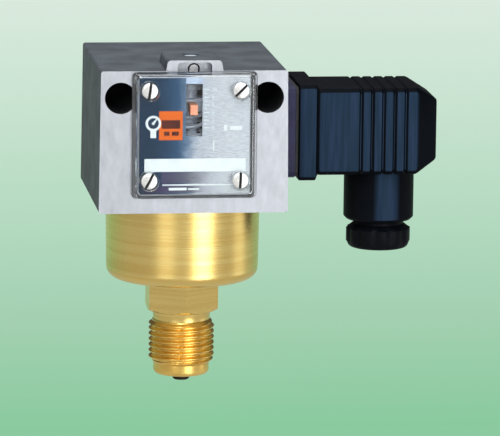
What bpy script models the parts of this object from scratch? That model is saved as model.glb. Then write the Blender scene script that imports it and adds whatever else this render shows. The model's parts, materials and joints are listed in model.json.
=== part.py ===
"""Bellows pressure switch: a threaded brass pressure connection under a brass sensor cup, a die-cast
aluminium housing with a clear window over the setpoint scale, and a square angled plug on its side.

Frame: origin on the connection's axis, at the sealing face where its thread ends. +Z runs up the axis,
-Y is the window side and +X is the plug side. Numbers are millimetres until solid() scales them.
"""

import math

import bmesh
import bpy
from mathutils import Matrix, Quaternion, Vector

MM = 0.001
GAP = 0.15  # left between faces that touch on the real switch

# Pressure connection: an ISO 228 G 1/2 pressure gauge stub with a sealing spigot.
SPIGOT_RADIUS, SPIGOT_LENGTH, PORT_RADIUS = 2.7, 2.2, 1.5
PILOT_RADIUS, PILOT_TOP = 8.9, 4.0
THREAD_RADIUS, THREAD_ROOT, THREAD_PITCH, THREAD_TOP = 10.48, 9.32, 1.814, 17.6
RELIEF_RADIUS, HEX_BOTTOM, HEX_TOP, HEX_ACROSS_FLATS = 9.1, 20.6, 31.3, 22.0
COLLAR_RADIUS, COLLAR_TOP = 7.0, 36.0

# Sensor cup and what it holds.
CUP_BOTTOM, CUP_TOP, CUP_RADIUS, CUP_FOOT_RADIUS = 31.45, 57.05, 24.6, 24.25
CUP_CORNER, CUP_WALL = 3.6, 1.2
BELLOWS_BOTTOM, BELLOWS_TOP, BELLOWS_CREST, BELLOWS_ROOT = 34.2, 47.0, 14.0, 10.6
BELLOWS_WAVES, BELLOWS_WALL = 4, 0.5
HEAD_TOP, HEAD_RADIUS, PLUNGER_RADIUS, PLUNGER_FOOT = 49.6, 12.5, 2.5, 4.0
FLANGE_BOTTOM, FLANGE_RADIUS, FLANGE_SCREW_AT = 53.4, 23.0, 12.0

# Housing: the window face is the plane y = FRONT. Its sides, top and bottom are drafted as cast.
BASE, TOP, FRONT, REAR = 57.2, 102.2, -31.0, 34.0
HALF_WIDTH_TOP, HALF_WIDTH_BOTTOM, REAR_DRAFT, EDGE = 29.3, 29.8, 0.2, 0.8
FLOOR, CEILING, SHOULDER = 61.2, 98.2, 86.5
CAVITY_HALF, CAVITY_HALF_TOP, CAVITY_FRONT, CAVITY_REAR = 26.0, 16.3, -25.0, 27.5
LUG_TOP, LUG_HALF, LUG_REAR, LUG_CORNER = 105.5, 8.6, -11.0, 1.2
POCKET_WIDTH, POCKET_BOTTOM, POCKET_TOP, POCKET_FLOOR = 10.8, 100.3, 104.8, -28.2
WALL_HOLE_X, WALL_HOLE_Z, WALL_HOLE_RADIUS, WALL_BORE_RADIUS, WALL_SEAT = 23.15, 93.7, 4.95, 3.2, 24.0

# Window: clear cover, gasket and scale plate on the housing's front face.
WINDOW_Z, COVER_FOOT, COVER_FACE = 82.1, (39.4, 40.0), (37.2, 39.0)
PLATE_FRONT, GASKET_FRONT, COVER_BACK, COVER_FRONT = -31.65, -31.9, -32.05, -35.6
COVER_INSIDE, COVER_SEAT, COVER_HOLLOW = -33.9, -33.0, (36.2, 36.8)
COVER_SCREW_X, COVER_SCREW_Z, SCREW_POST_RADIUS = 14.3, 14.2, 3.1
SLOT_ANGLES = (-8, -45, -28, -3)
PLATE_SIZE, SLOT_LEFT, SLOT_RIGHT, SLOT_BOTTOM, SLOT_TOP = (34.6, 37.2), -2.8, 2.4, 81.7, 98.2

# Setpoint drive, on its own upright axis behind the window.
SPINDLE_Y, SPINDLE_RADIUS, SPINDLE_FOOT, SPINDLE_TOP = -18.6, 2.4, 75.5, 105.1
SPINDLE_COLLAR, COLLAR_BOTTOM, SEAL_BOTTOM = 3.8, 94.8, 96.9
NUT_BOTTOM, NUT_TOP, NUT_RADIUS = 88.0, 92.2, 5.0
SPRING_RADIUS, SPRING_WIRE, SPRING_TURNS, SPRING_STEPS = 4.0, 0.6, 6, 12
LOCK_Z, LOCK_RADIUS, LOCK_HEAD, LOCK_TIP, PAD_TIP = 102.4, 1.5, -28.0, -23.2, -21.2

# Rocker and snap switch: the plunger lifts the rocker in the middle and the setting spring holds down
# its front end.
PIVOT_Y, PIVOT_Z, PIN_RADIUS, BARREL_RADIUS = 16.0, 66.2, 1.5, 2.9
LEVER_HALF, LEVER_BOTTOM, LEVER_TOP, LEVER_SEAT, LEVER_FRONT = 5.0, 64.5, 66.8, 67.6, -24.3
SWITCH_HALF, SWITCH_FRONT, SWITCH_REAR, SWITCH_BOTTOM, SWITCH_TOP = 5.2, -11.0, 16.8, 69.8, 85.0
BUTTON_Y, BUTTON_RADIUS, SWITCH_SCREWS_Y, SWITCH_SCREWS_Z = -5.0, 1.2, (-7.5, 13.0), 78.0
TERMINALS = {"terminal_common": -7.0, "terminal_closed": 3.0, "terminal_open": 13.0}
PLATE_NEAR, PLATE_FAR, PLATE_TOP = 5.6, 6.8, 82.0
BRACKET_SCREW_X, BRACKET_SCREW_Y = 3.4, 22.7
EARTH_SCREW_X, EARTH_SCREW_Y, WIRE_RADIUS = 19.0, 20.0, 0.8

# Electrical inlet and plug, stacked along +X on the axis z = PLUG_Z. The plug is the square 28 mm size
# of EN 175301-803 form A, whose blades lie 18 mm apart.
PLUG_Z, SEAT_X, INLET_BACK, INLET_FACE, INLET_WIDTH = 79.7, 29.0, 30.0, 34.1, 29.2
BLADE_AT, TAIL_AT, BLADE_WIDTH, BLADE_THICKNESS = 9.0, 5.2, 6.3, 0.8
TAIL_END, JOG_X, BLADE_TIP, JOG_POCKET = 21.0, 30.6, 44.0, 10.2
POST_RADIUS, POST_END, INLET_SCREW_Y = 3.6, 42.5, 12.2
RIM_X, RIM_END, BODY_X, BODY_END, PLUG_END = 35.25, 40.7, 41.7, 73.2, 80.0
RIM_WIDTH, BODY_WIDTH, END_WIDTH, PLUG_CAVITY, PLUG_CAVITY_END = 30.8, 27.9, 19.6, 23.2, 68.0
INSERT_BACK, INSERT_FRONT, INSERT_WIDTH = 35.4, 56.0, 22.6
OUTLET_X, OUTLET_RADIUS, OUTLET_BORE, OUTLET_END, OUTLET_LEDGE = 63.2, 11.2, 8.4, 49.6, 65.2
NUT_HEAD_BOTTOM, NUT_HEAD_TOP, NUT_HEAD_RADIUS, NUT_BORE = 40.4, 47.7, 10.3, 6.2
NUT_SHANK_TOP, NUT_SHANK_RADIUS, NUT_FLUTES = 57.4, 8.1, 12

TURNED = 24  # sides of an ordinary turned piece

# Which way a piece's own +Z points. Facing the front, its own X and Y are the world's X and Z;
# facing the plug, they are the world's Y and Z.
UP = Quaternion()
TO_FRONT = Quaternion((1, 0, 0), math.pi / 2)
TO_PLUG = Quaternion((1, 1, 1), 2 * math.pi / 3)


def material(name, colour, roughness, metallic=0.0):
    made = bpy.data.materials.new(name)
    made.use_nodes = True
    shader = made.node_tree.nodes["Principled BSDF"]
    shader.inputs["Base Color"].default_value = (*colour, 1.0)
    shader.inputs["Roughness"].default_value = roughness
    shader.inputs["Metallic"].default_value = metallic
    return made


def make_materials():
    return {
        "casting": material("casting", (0.13, 0.15, 0.16), 0.55, 0.6),
        "brass": material("brass", (0.80, 0.62, 0.24), 0.3, 1.0),
        "bronze": material("bronze", (0.66, 0.42, 0.20), 0.35, 1.0),
        "steel": material("steel", (0.62, 0.62, 0.60), 0.35, 1.0),
        "black_plastic": material("black_plastic", (0.02, 0.022, 0.027), 0.35),
        "white_plastic": material("white_plastic", (0.85, 0.85, 0.83), 0.4),
        "orange_plastic": material("orange_plastic", (0.85, 0.25, 0.03), 0.4),
        "clear_plastic": material("clear_plastic", (0.92, 0.94, 0.95), 0.05),
        "printed_plate": material("printed_plate", (0.35, 0.42, 0.52), 0.4),
        "rubber": material("rubber", (0.03, 0.03, 0.03), 0.8),
        "wire": material("wire", (0.35, 0.06, 0.05), 0.5),
    }


def place(obj, at, facing):
    obj.location = Vector(at) * MM
    obj.rotation_mode = "QUATERNION"
    obj.rotation_quaternion = facing
    bpy.context.scene.collection.objects.link(obj)
    return obj


def finish_mesh(mesh):
    mesh.shade_smooth()
    mesh.set_sharp_from_angle(angle=math.radians(35))
    return mesh


def solid(name, bm, finish, at=(0, 0, 0), facing=UP):
    """The piece held in bm, whose millimetres become metres here, placed at a point."""
    bmesh.ops.recalc_face_normals(bm, faces=bm.faces)
    bmesh.ops.scale(bm, vec=(MM, MM, MM), verts=bm.verts)
    mesh = bpy.data.meshes.new(name)
    bm.to_mesh(mesh)
    bm.free()
    mesh.materials.append(finish)
    return place(bpy.data.objects.new(name, finish_mesh(mesh)), at, facing)


def combine(obj, tool, operation="DIFFERENCE"):
    """Cuts the tool from obj, or joins it on, and removes the tool."""
    modifier = obj.modifiers.new("combine", "BOOLEAN")
    modifier.operation = operation
    modifier.object = tool
    bpy.context.view_layer.update()
    graph = bpy.context.evaluated_depsgraph_get()
    mesh = bpy.data.meshes.new_from_object(obj.evaluated_get(graph))
    obj.modifiers.clear()
    obj.data = finish_mesh(mesh)
    bpy.data.objects.remove(tool)
    return obj


def level(outline, z):
    return [(x, y, z) for x, y in outline]


def ring(radius, z, sides=TURNED):
    """Points round a level circle, whose radius may be a function of the angle and the height."""
    points = []
    for k in range(sides):
        angle = 2 * math.pi * k / sides
        r = radius(angle, z) if callable(radius) else radius
        points.append((r * math.cos(angle), r * math.sin(angle), z))
    return points


def loft(rings, closed=False):
    """Joins each ring of points to the next, then caps both ends or joins the last to the first."""
    bm = bmesh.new()
    loops = [[bm.verts.new(point) for point in points] for points in rings]
    for lower, upper in zip(loops, loops[1:] + loops[:1] if closed else loops[1:]):
        for k in range(len(lower)):
            n = (k + 1) % len(lower)
            bm.faces.new((lower[k], lower[n], upper[n], upper[k]))
    if not closed:
        bm.faces.new(loops[0])
        bm.faces.new(loops[-1])
    return bm


def stack(profile, sides=TURNED, bore=None):
    """A turned piece from (height, radius) steps, solid or around a bore."""
    rings = [ring(radius, z, sides) for z, radius in profile]
    if bore is None:
        return loft(rings)
    return loft(rings + [ring(bore, profile[-1][0], sides), ring(bore, profile[0][0], sides)], closed=True)


def box(low, high):
    """A block between two corners."""
    bm = bmesh.new()
    centre = (Vector(low) + Vector(high)) / 2
    size = Vector(high) - Vector(low)
    bmesh.ops.create_cube(bm, size=1.0, matrix=Matrix.Translation(centre) @ Matrix.Diagonal((*size, 1)))
    return bm


def prism(outline, low, high):
    return loft([level(outline, low), level(outline, high)])


def tube(points, radius, sides):
    """A round bar whose middle follows the points."""
    path = [Vector(point) for point in points]
    tangents = [(path[min(k + 1, len(path) - 1)] - path[max(k - 1, 0)]).normalized() for k in range(len(path))]
    across = tangents[0].orthogonal().normalized()
    rings = []
    for k, (point, along) in enumerate(zip(path, tangents)):
        across = tangents[max(k - 1, 0)].rotation_difference(along) @ across
        other = along.cross(across)
        turn = [2 * math.pi * n / sides for n in range(sides)]
        rings.append([point + radius * (math.cos(a) * across + math.sin(a) * other) for a in turn])
    return loft(rings)


def smooth(points, steps):
    """A Catmull-Rom curve through the points."""
    path = [Vector(point) for point in points]
    padded = [path[0], *path, path[-1]]
    curve = []
    for a, b, c, d in zip(padded, padded[1:], padded[2:], padded[3:]):
        for k in range(steps):
            t = k / steps
            curve.append(0.5 * (2 * b + (c - a) * t + (2 * a - 5 * b + 4 * c - d) * t * t
                                + (3 * b - a - 3 * c + d) * t ** 3))
    return curve + [path[-1]]


def arc(centre, radius, start, end, steps):
    """Points on an arc, angles in degrees."""
    turn = [math.radians(start + (end - start) * k / steps) for k in range(steps + 1)]
    return [(centre[0] + radius * math.cos(a), centre[1] + radius * math.sin(a)) for a in turn]


def rounded_rectangle(width, height, corner, steps=2):
    x, y = width / 2 - corner, height / 2 - corner
    outline = []
    for k, centre in enumerate([(x, y), (-x, y), (-x, -y), (x, -y)]):
        outline += arc(centre, corner, 90 * k, 90 * k + 90, steps)
    return outline


def flat_ring(outer, inner, low, high):
    """A flat gasket: one outline raised around another with as many points."""
    return loft([level(outer, low), level(outer, high), level(inner, high), level(inner, low)], closed=True)


def hexagon(across_flats, limit):
    """Radius of a hexagon with a corner towards -Y, turned down to the limit."""
    def radius(angle, _z):
        from_flat = (angle + math.pi / 6) % (math.pi / 3) - math.pi / 6
        return min(across_flats / 2 / math.cos(from_flat), limit)
    return radius


def helix(root, crest, pitch):
    """Radius of a right-hand screw thread at an angle and a height."""
    def radius(angle, z):
        phase = (z / pitch - angle / (2 * math.pi)) % 1.0
        return root + (crest - root) * min(1.0, 2.4 * min(phase, 1 - phase))
    return radius


def fluted(radius, depth, count):
    """Radius of a knob with shallow grooves between its ribs."""
    return lambda angle, _z: radius - depth * (0.5 - 0.5 * math.cos(count * angle))


def screw(name, head, shank, finish, at, facing=UP):
    """A slotted cheese-head screw from (radius, height) and (radius, length), placed under its head."""
    (head_radius, height), (radius, length) = head, shank
    profile = [(-length, radius - 0.3), (-length + 0.4, radius), (0, radius), (0, head_radius),
               (height - 0.2, head_radius), (height, head_radius - 0.2)]
    made = solid(name, stack(profile, 14), finish, at, facing)
    slot = box((-head_radius - 1, -0.35, height - 0.7), (head_radius + 1, 0.35, height + 1))
    return combine(made, solid("slot", slot, finish, at, facing))


def drill(obj, radius, start, end, sides=16):
    """A round hole from one point to another."""
    along = Vector(end) - Vector(start)
    hole = stack([(0, radius), (along.length, radius)], sides)
    return combine(obj, solid("drill", hole, obj.data.materials[0], start, along.to_track_quat("Z", "Y")))


def carve(obj, low, high, operation="DIFFERENCE"):
    """A square cut between two corners, or a block joined on there."""
    return combine(obj, solid("carve", box(low, high), obj.data.materials[0]), operation)


def corners(x, y):
    return [(-x, y), (x, y), (-x, -y), (x, -y)]


def make_connection(finish):
    thread = helix(THREAD_ROOT, THREAD_RADIUS, THREAD_PITCH)
    rows = round((THREAD_TOP - PILOT_TOP) / THREAD_PITCH * 4)
    step = (THREAD_TOP - PILOT_TOP) / rows
    corner = HEX_ACROSS_FLATS / 2 / math.cos(math.pi / 6)
    profile = [(-SPIGOT_LENGTH, SPIGOT_RADIUS - 0.3), (-SPIGOT_LENGTH + 0.3, SPIGOT_RADIUS),
               (0, SPIGOT_RADIUS), (0, PILOT_RADIUS - 0.7), (0.7, PILOT_RADIUS), (PILOT_TOP, PILOT_RADIUS)]
    profile += [(PILOT_TOP + step * (k + 0.5), thread) for k in range(rows)]
    profile += [(THREAD_TOP, RELIEF_RADIUS), (HEX_BOTTOM, RELIEF_RADIUS),
                (HEX_BOTTOM, hexagon(HEX_ACROSS_FLATS, corner - 1.2)),
                (HEX_BOTTOM + 0.7, hexagon(HEX_ACROSS_FLATS, corner)),
                (HEX_TOP, hexagon(HEX_ACROSS_FLATS, corner)), (HEX_TOP, COLLAR_RADIUS),
                (COLLAR_TOP, COLLAR_RADIUS)]
    solid("process_connection", stack(profile, bore=PORT_RADIUS), finish["brass"])


def make_cup(finish):
    hole, floor = COLLAR_RADIUS + GAP, CUP_BOTTOM + CUP_WALL
    inner, foot_inner, corner_inner = CUP_RADIUS - CUP_WALL, CUP_FOOT_RADIUS - CUP_WALL, CUP_CORNER - CUP_WALL
    outline = [(inner, CUP_TOP), (CUP_RADIUS, CUP_TOP)]
    outline += arc((CUP_FOOT_RADIUS - CUP_CORNER, CUP_BOTTOM + CUP_CORNER), CUP_CORNER, 0, -90, 4)
    outline += [(hole, CUP_BOTTOM), (hole, floor)]
    outline += arc((foot_inner - corner_inner, floor + corner_inner), corner_inner, -90, 0, 2)
    solid("sensor_cup", loft([ring(r, z, 40) for r, z in outline], closed=True), finish["brass"])


def make_bellows(finish):
    base = [(CUP_BOTTOM + CUP_WALL + GAP, BELLOWS_CREST), (BELLOWS_BOTTOM - GAP, BELLOWS_CREST)]
    solid("bellows_base", stack(base, bore=COLLAR_RADIUS + GAP), finish["brass"])
    half_wave = (BELLOWS_TOP - BELLOWS_BOTTOM) / (2 * BELLOWS_WAVES)
    wave = [(BELLOWS_ROOT if k % 2 == 0 else BELLOWS_CREST, BELLOWS_BOTTOM + half_wave * k)
            for k in range(2 * BELLOWS_WAVES + 1)]
    inside = [(r - BELLOWS_WALL, z) for r, z in reversed(wave)]
    solid("bellows", loft([ring(r, z) for r, z in wave + inside], closed=True), finish["bronze"])
    head = [(BELLOWS_TOP + GAP, HEAD_RADIUS), (HEAD_TOP, HEAD_RADIUS)]
    solid("bellows_head", stack(head), finish["brass"])
    foot, tip = HEAD_TOP + GAP, LEVER_BOTTOM - GAP
    rod = [(foot, PLUNGER_FOOT), (foot + 1.7, PLUNGER_FOOT), (foot + 1.7, PLUNGER_RADIUS),
           (tip - 0.8, PLUNGER_RADIUS), (tip, PLUNGER_RADIUS - 1.0)]
    solid("plunger", stack(rod, 16), finish["steel"])


def make_flange(finish):
    plate = [(FLANGE_BOTTOM, FLANGE_RADIUS), (CUP_TOP, FLANGE_RADIUS)]
    flange = solid("sensor_flange", stack(plate, 32, PLUNGER_RADIUS + 0.3), finish["steel"])
    for k, (x, y) in enumerate(corners(FLANGE_SCREW_AT, FLANGE_SCREW_AT)):
        drill(flange, 2.1, (x, y, FLANGE_BOTTOM - 1), (x, y, CUP_TOP + 1), 12)
        screw(f"flange_screw_{k + 1}", (3.4, 2.4), (1.9, 7.0), finish["steel"], (x, y, FLOOR + GAP))


def housing_shell(finish):
    """The drafted casting, its rear and long edges rounded and its front edges left sharp."""
    outlines = []
    for y, draft in ((FRONT, 0.0), (REAR, REAR_DRAFT)):
        bottom, top, sink = HALF_WIDTH_BOTTOM - draft, HALF_WIDTH_TOP - draft, draft * 0.4
        outlines.append([(-bottom, y, BASE + sink), (bottom, y, BASE + sink),
                         (top, y, TOP - sink), (-top, y, TOP - sink)])
    bm = loft(outlines)
    bmesh.ops.recalc_face_normals(bm, faces=bm.faces)
    behind = [edge for edge in bm.edges if max(vert.co.y for vert in edge.verts) > 0]
    bmesh.ops.bevel(bm, geom=behind, offset=EDGE, segments=2, profile=0.5, affect="EDGES")
    return solid("housing", bm, finish["casting"])


def add_lug(housing, finish):
    """The raised block on top that holds the setting spindle, with the lock screw's pocket in front."""
    outline = [(LUG_HALF + 0.4, TOP - 3), (LUG_HALF + 0.4, TOP)]
    outline += arc((LUG_HALF - LUG_CORNER, LUG_TOP - LUG_CORNER), LUG_CORNER, 0, 90, 3)
    outline += [(-x, z) for x, z in reversed(outline)]
    block = prism(outline, -LUG_REAR, -FRONT)
    combine(housing, solid("lug", block, finish["casting"], facing=TO_FRONT), "UNION")
    pocket = prism(rounded_rectangle(POCKET_WIDTH, POCKET_TOP - POCKET_BOTTOM, 1.2), -POCKET_FLOOR, 1 - FRONT)
    middle = (0, 0, (POCKET_TOP + POCKET_BOTTOM) / 2)
    combine(housing, solid("pocket", pocket, finish["casting"], middle, TO_FRONT))
    drill(housing, SPINDLE_RADIUS + 0.35, (0, SPINDLE_Y, CEILING - 1), (0, SPINDLE_Y, LUG_TOP + 1))
    drill(housing, LOCK_RADIUS + 0.2, (0, POCKET_FLOOR - 1, LOCK_Z), (0, SPINDLE_Y, LOCK_Z), 12)
    drill(housing, 0.7, (-5.6, -25.4, LUG_TOP - 5), (-5.6, -25.4, LUG_TOP + 1), 8)


def hollow(housing):
    """The switch room, wide at the plug's height and narrow between the wall bolt holes, and its window."""
    half, narrow, boss_x, boss_z = CAVITY_HALF, CAVITY_HALF_TOP, COVER_SCREW_X - 3.5, COVER_SCREW_Z - 3.5
    carve(housing, (-half, CAVITY_FRONT, FLOOR), (half, CAVITY_REAR, SHOULDER))
    carve(housing, (-narrow, CAVITY_FRONT, SHOULDER - 1), (narrow, CAVITY_REAR, CEILING))
    carve(housing, (-narrow, FRONT - 1, WINDOW_Z - boss_z), (narrow, CAVITY_FRONT + 1, WINDOW_Z + boss_z))
    carve(housing, (-boss_x, FRONT - 1, 2 * WINDOW_Z - SLOT_TOP), (boss_x, CAVITY_FRONT + 1, SLOT_TOP))


def make_housing(finish):
    housing = housing_shell(finish)
    add_lug(housing, finish)
    hollow(housing)
    for x in (-WALL_HOLE_X, WALL_HOLE_X):
        drill(housing, WALL_HOLE_RADIUS, (x, FRONT - 1, WALL_HOLE_Z), (x, WALL_SEAT, WALL_HOLE_Z), TURNED)
        drill(housing, WALL_BORE_RADIUS, (x, WALL_SEAT - 1, WALL_HOLE_Z), (x, REAR + 1, WALL_HOLE_Z))
    for x, z in corners(COVER_SCREW_X, COVER_SCREW_Z):
        drill(housing, 1.55, (x, FRONT - 1, WINDOW_Z + z), (x, CAVITY_FRONT + 1, WINDOW_Z + z), 12)
    for x, y in corners(FLANGE_SCREW_AT, FLANGE_SCREW_AT):
        drill(housing, 2.1, (x, y, BASE - 1), (x, y, FLOOR + 1), 12)
    small = [(-BRACKET_SCREW_X, BRACKET_SCREW_Y), (BRACKET_SCREW_X, BRACKET_SCREW_Y),
             (EARTH_SCREW_X, EARTH_SCREW_Y)]
    for x, y in small:
        drill(housing, 1.3, (x, y, FLOOR - 3), (x, y, FLOOR + 1), 10)
    drill(housing, 4.0, (0, 0, BASE - 1), (0, 0, FLOOR + 1))
    seat = INLET_WIDTH / 2 + 0.4
    carve(housing, (SEAT_X, -seat, PLUG_Z - seat), (SEAT_X + 3, seat, PLUG_Z + seat))
    carve(housing, (CAVITY_HALF - 1, -10.6, PLUG_Z - 7), (SEAT_X + 1, 10.6, PLUG_Z + 6.4))
    for y in (-INLET_SCREW_Y, INLET_SCREW_Y):
        drill(housing, 1.2, (CAVITY_HALF - 1, y, PLUG_Z), (SEAT_X + 1, y, PLUG_Z), 10)


def make_cover(finish):
    foot, face = (rounded_rectangle(*size, 1.5) for size in (COVER_FOOT, COVER_FACE))
    edge = rounded_rectangle(COVER_FACE[0] - 0.8, COVER_FACE[1] - 0.8, 1.2)
    shell = loft([level(foot, -COVER_BACK), level(face, 0.4 - COVER_FRONT - 0.8), level(edge, -COVER_FRONT)])
    centre = (0, 0, WINDOW_Z)
    cover = solid("window_cover", shell, finish["clear_plastic"], centre, TO_FRONT)
    inside = prism(rounded_rectangle(*COVER_HOLLOW, 1.0), -COVER_BACK - 1, -COVER_INSIDE)
    combine(cover, solid("inside", inside, finish["clear_plastic"], centre, TO_FRONT))
    for x, z in corners(COVER_SCREW_X, COVER_SCREW_Z):
        at = (x, 0, WINDOW_Z + z)
        post = stack([(-COVER_BACK, SCREW_POST_RADIUS), (0.5 - COVER_INSIDE, SCREW_POST_RADIUS)], 16)
        combine(cover, solid("post", post, finish["clear_plastic"], at, TO_FRONT), "UNION")
    for x, z in corners(COVER_SCREW_X, COVER_SCREW_Z):
        drill(cover, 1.65, (x, COVER_FRONT - 1, WINDOW_Z + z), (x, COVER_BACK + 1, WINDOW_Z + z), 12)
        drill(cover, 2.95, (x, COVER_FRONT - 1, WINDOW_Z + z), (x, COVER_SEAT, WINDOW_Z + z))


def make_window(finish):
    make_cover(finish)
    centre = (0, 0, WINDOW_Z)
    outer = rounded_rectangle(COVER_FOOT[0] - 0.4, COVER_FOOT[1] - 0.4, 1.5)
    inner = rounded_rectangle(PLATE_SIZE[0] + 0.8, PLATE_SIZE[1] + 0.8, 1.0)
    gasket = flat_ring(outer, inner, GAP - FRONT, -GASKET_FRONT)
    solid("window_gasket", gasket, finish["rubber"], centre, TO_FRONT)
    sheet = prism(rounded_rectangle(*PLATE_SIZE, 1.0), GAP - FRONT, -PLATE_FRONT)
    plate = solid("scale_plate", sheet, finish["printed_plate"], centre, TO_FRONT)
    carve(plate, (SLOT_LEFT, PLATE_FRONT - 1, SLOT_BOTTOM), (SLOT_RIGHT, FRONT, SLOT_TOP))
    for k, (x, z) in enumerate(corners(COVER_SCREW_X, COVER_SCREW_Z)):
        drill(plate, 1.8, (x, PLATE_FRONT - 1, WINDOW_Z + z), (x, FRONT, WINDOW_Z + z), 12)
        facing = TO_FRONT @ Quaternion((0, 0, 1), math.radians(90 + SLOT_ANGLES[k]))
        screw(f"cover_screw_{k + 1}", (2.55, 1.4), (1.35, 7.4), finish["steel"],
              (x, COVER_SEAT - GAP, WINDOW_Z + z), facing)


def make_setting_drive(finish):
    at = (0, SPINDLE_Y, 0)
    rod = [(SPINDLE_FOOT, SPINDLE_RADIUS - 0.4), (SPINDLE_FOOT + 0.4, SPINDLE_RADIUS),
           (COLLAR_BOTTOM, SPINDLE_RADIUS), (COLLAR_BOTTOM, SPINDLE_COLLAR),
           (SEAL_BOTTOM - GAP, SPINDLE_COLLAR), (SEAL_BOTTOM - GAP, SPINDLE_RADIUS),
           (SPINDLE_TOP - 0.2, SPINDLE_RADIUS), (SPINDLE_TOP, SPINDLE_RADIUS - 0.2)]
    spindle = solid("setting_spindle", stack(rod, 20), finish["steel"], at)
    carve(spindle, (-5, SPINDLE_Y - 0.4, SPINDLE_TOP - 1), (5, SPINDLE_Y + 0.4, SPINDLE_TOP + 1))
    ring_profile = [(SEAL_BOTTOM, SPINDLE_COLLAR), (CEILING - GAP, SPINDLE_COLLAR)]
    solid("spindle_seal", stack(ring_profile, 20, SPINDLE_RADIUS + 0.2), finish["rubber"], at)
    nut = [(NUT_BOTTOM, NUT_RADIUS), (NUT_TOP, NUT_RADIUS)]
    solid("setting_nut", stack(nut, bore=SPINDLE_RADIUS + 0.2), finish["steel"], at)
    flag = box((-1.4, PLATE_FRONT + GAP, NUT_BOTTOM + 0.3), (1.0, SPINDLE_Y - NUT_RADIUS - GAP, NUT_TOP - 0.7))
    solid("setpoint_pointer", flag, finish["orange_plastic"])
    bottom, top = LEVER_SEAT + GAP + SPRING_WIRE, NUT_BOTTOM - GAP - SPRING_WIRE
    coil = []
    for k in range(SPRING_TURNS * SPRING_STEPS + 1):
        a = 2 * math.pi * k / SPRING_STEPS
        z = bottom + (top - bottom) * k / (SPRING_TURNS * SPRING_STEPS)
        coil.append((SPRING_RADIUS * math.cos(a), SPRING_RADIUS * math.sin(a), z))
    solid("setting_spring", tube(coil, SPRING_WIRE, 5), finish["steel"], at)


def make_lock(finish):
    """The set screw, whose slot faces the front, and the soft pad it presses on the spindle."""
    at = (0, 0, LOCK_Z)
    body = [(-LOCK_TIP, LOCK_RADIUS - 0.3), (0.3 - LOCK_TIP, LOCK_RADIUS), (-LOCK_HEAD, LOCK_RADIUS)]
    lock = solid("lock_screw", stack(body, 12), finish["steel"], at, TO_FRONT)
    slot = box((-3, -0.3, -LOCK_HEAD - 0.9), (3, 0.3, 1 - LOCK_HEAD))
    combine(lock, solid("slot", slot, finish["steel"], at, TO_FRONT @ Quaternion((0, 0, 1), math.radians(30))))
    pad = [(-PAD_TIP, 1.3), (-LOCK_TIP - GAP, 1.3)]
    solid("lock_pad", stack(pad, 12), finish["brass"], at, TO_FRONT)


def make_rocker(finish):
    lever = solid("rocker", box((-LEVER_HALF, LEVER_FRONT, LEVER_BOTTOM), (LEVER_HALF, PIVOT_Y, LEVER_TOP)),
                  finish["steel"])
    barrel = stack([(-LEVER_HALF, BARREL_RADIUS), (LEVER_HALF, BARREL_RADIUS)], 16)
    combine(lever, solid("barrel", barrel, finish["steel"], (0, PIVOT_Y, PIVOT_Z), TO_PLUG), "UNION")
    seat = stack([(LEVER_TOP - 1, LEVER_HALF - 0.2), (LEVER_SEAT, LEVER_HALF - 0.2)], 16)
    combine(lever, solid("seat", seat, finish["steel"], (0, SPINDLE_Y, 0)), "UNION")
    drill(lever, PIN_RADIUS + 0.15, (-9, PIVOT_Y, PIVOT_Z), (9, PIVOT_Y, PIVOT_Z))
    pin = stack([(-PLATE_FAR - 0.8, PIN_RADIUS), (PLATE_FAR + 0.8, PIN_RADIUS)], 16)
    solid("rocker_pin", pin, finish["steel"], (0, PIVOT_Y, PIVOT_Z), TO_PLUG)


def make_bracket(finish):
    """The folded steel plate on the floor: a tall cheek for the snap switch and a low one for the pin."""
    rear, near, foot = CAVITY_REAR - 1.2, 11.5, FLOOR + GAP
    tall = [(rear, foot), (rear, foot + 3), (18.5, PLATE_TOP), (-10.0, PLATE_TOP), (-10.0, 74.0), (near, 74.0),
            (near, foot)]
    low = [(rear, foot), (rear, foot + 3), (20.5, 70.2), (near, 70.2), (near, foot)]
    bracket = solid("switch_bracket", prism(tall, PLATE_NEAR, PLATE_FAR), finish["steel"], facing=TO_PLUG)
    other = solid("cheek", prism(low, -PLATE_FAR, -PLATE_NEAR), finish["steel"], facing=TO_PLUG)
    carve(bracket, (-PLATE_FAR + 0.6, 19.2, foot), (PLATE_FAR - 0.6, rear, foot + 1.2), "UNION")
    combine(bracket, other, "UNION")
    drill(bracket, PIN_RADIUS + 0.15, (-9, PIVOT_Y, PIVOT_Z), (9, PIVOT_Y, PIVOT_Z))
    for y in SWITCH_SCREWS_Y:
        drill(bracket, 1.25, (9, y, SWITCH_SCREWS_Z), (4, y, SWITCH_SCREWS_Z), 12)
    for k, x in enumerate((-BRACKET_SCREW_X, BRACKET_SCREW_X)):
        drill(bracket, 1.4, (x, BRACKET_SCREW_Y, foot - 1), (x, BRACKET_SCREW_Y, foot + 3), 12)
        screw(f"bracket_screw_{k + 1}", (2.1, 1.5), (1.1, 3.6), finish["steel"],
              (x, BRACKET_SCREW_Y, foot + 1.2 + GAP))


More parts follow.
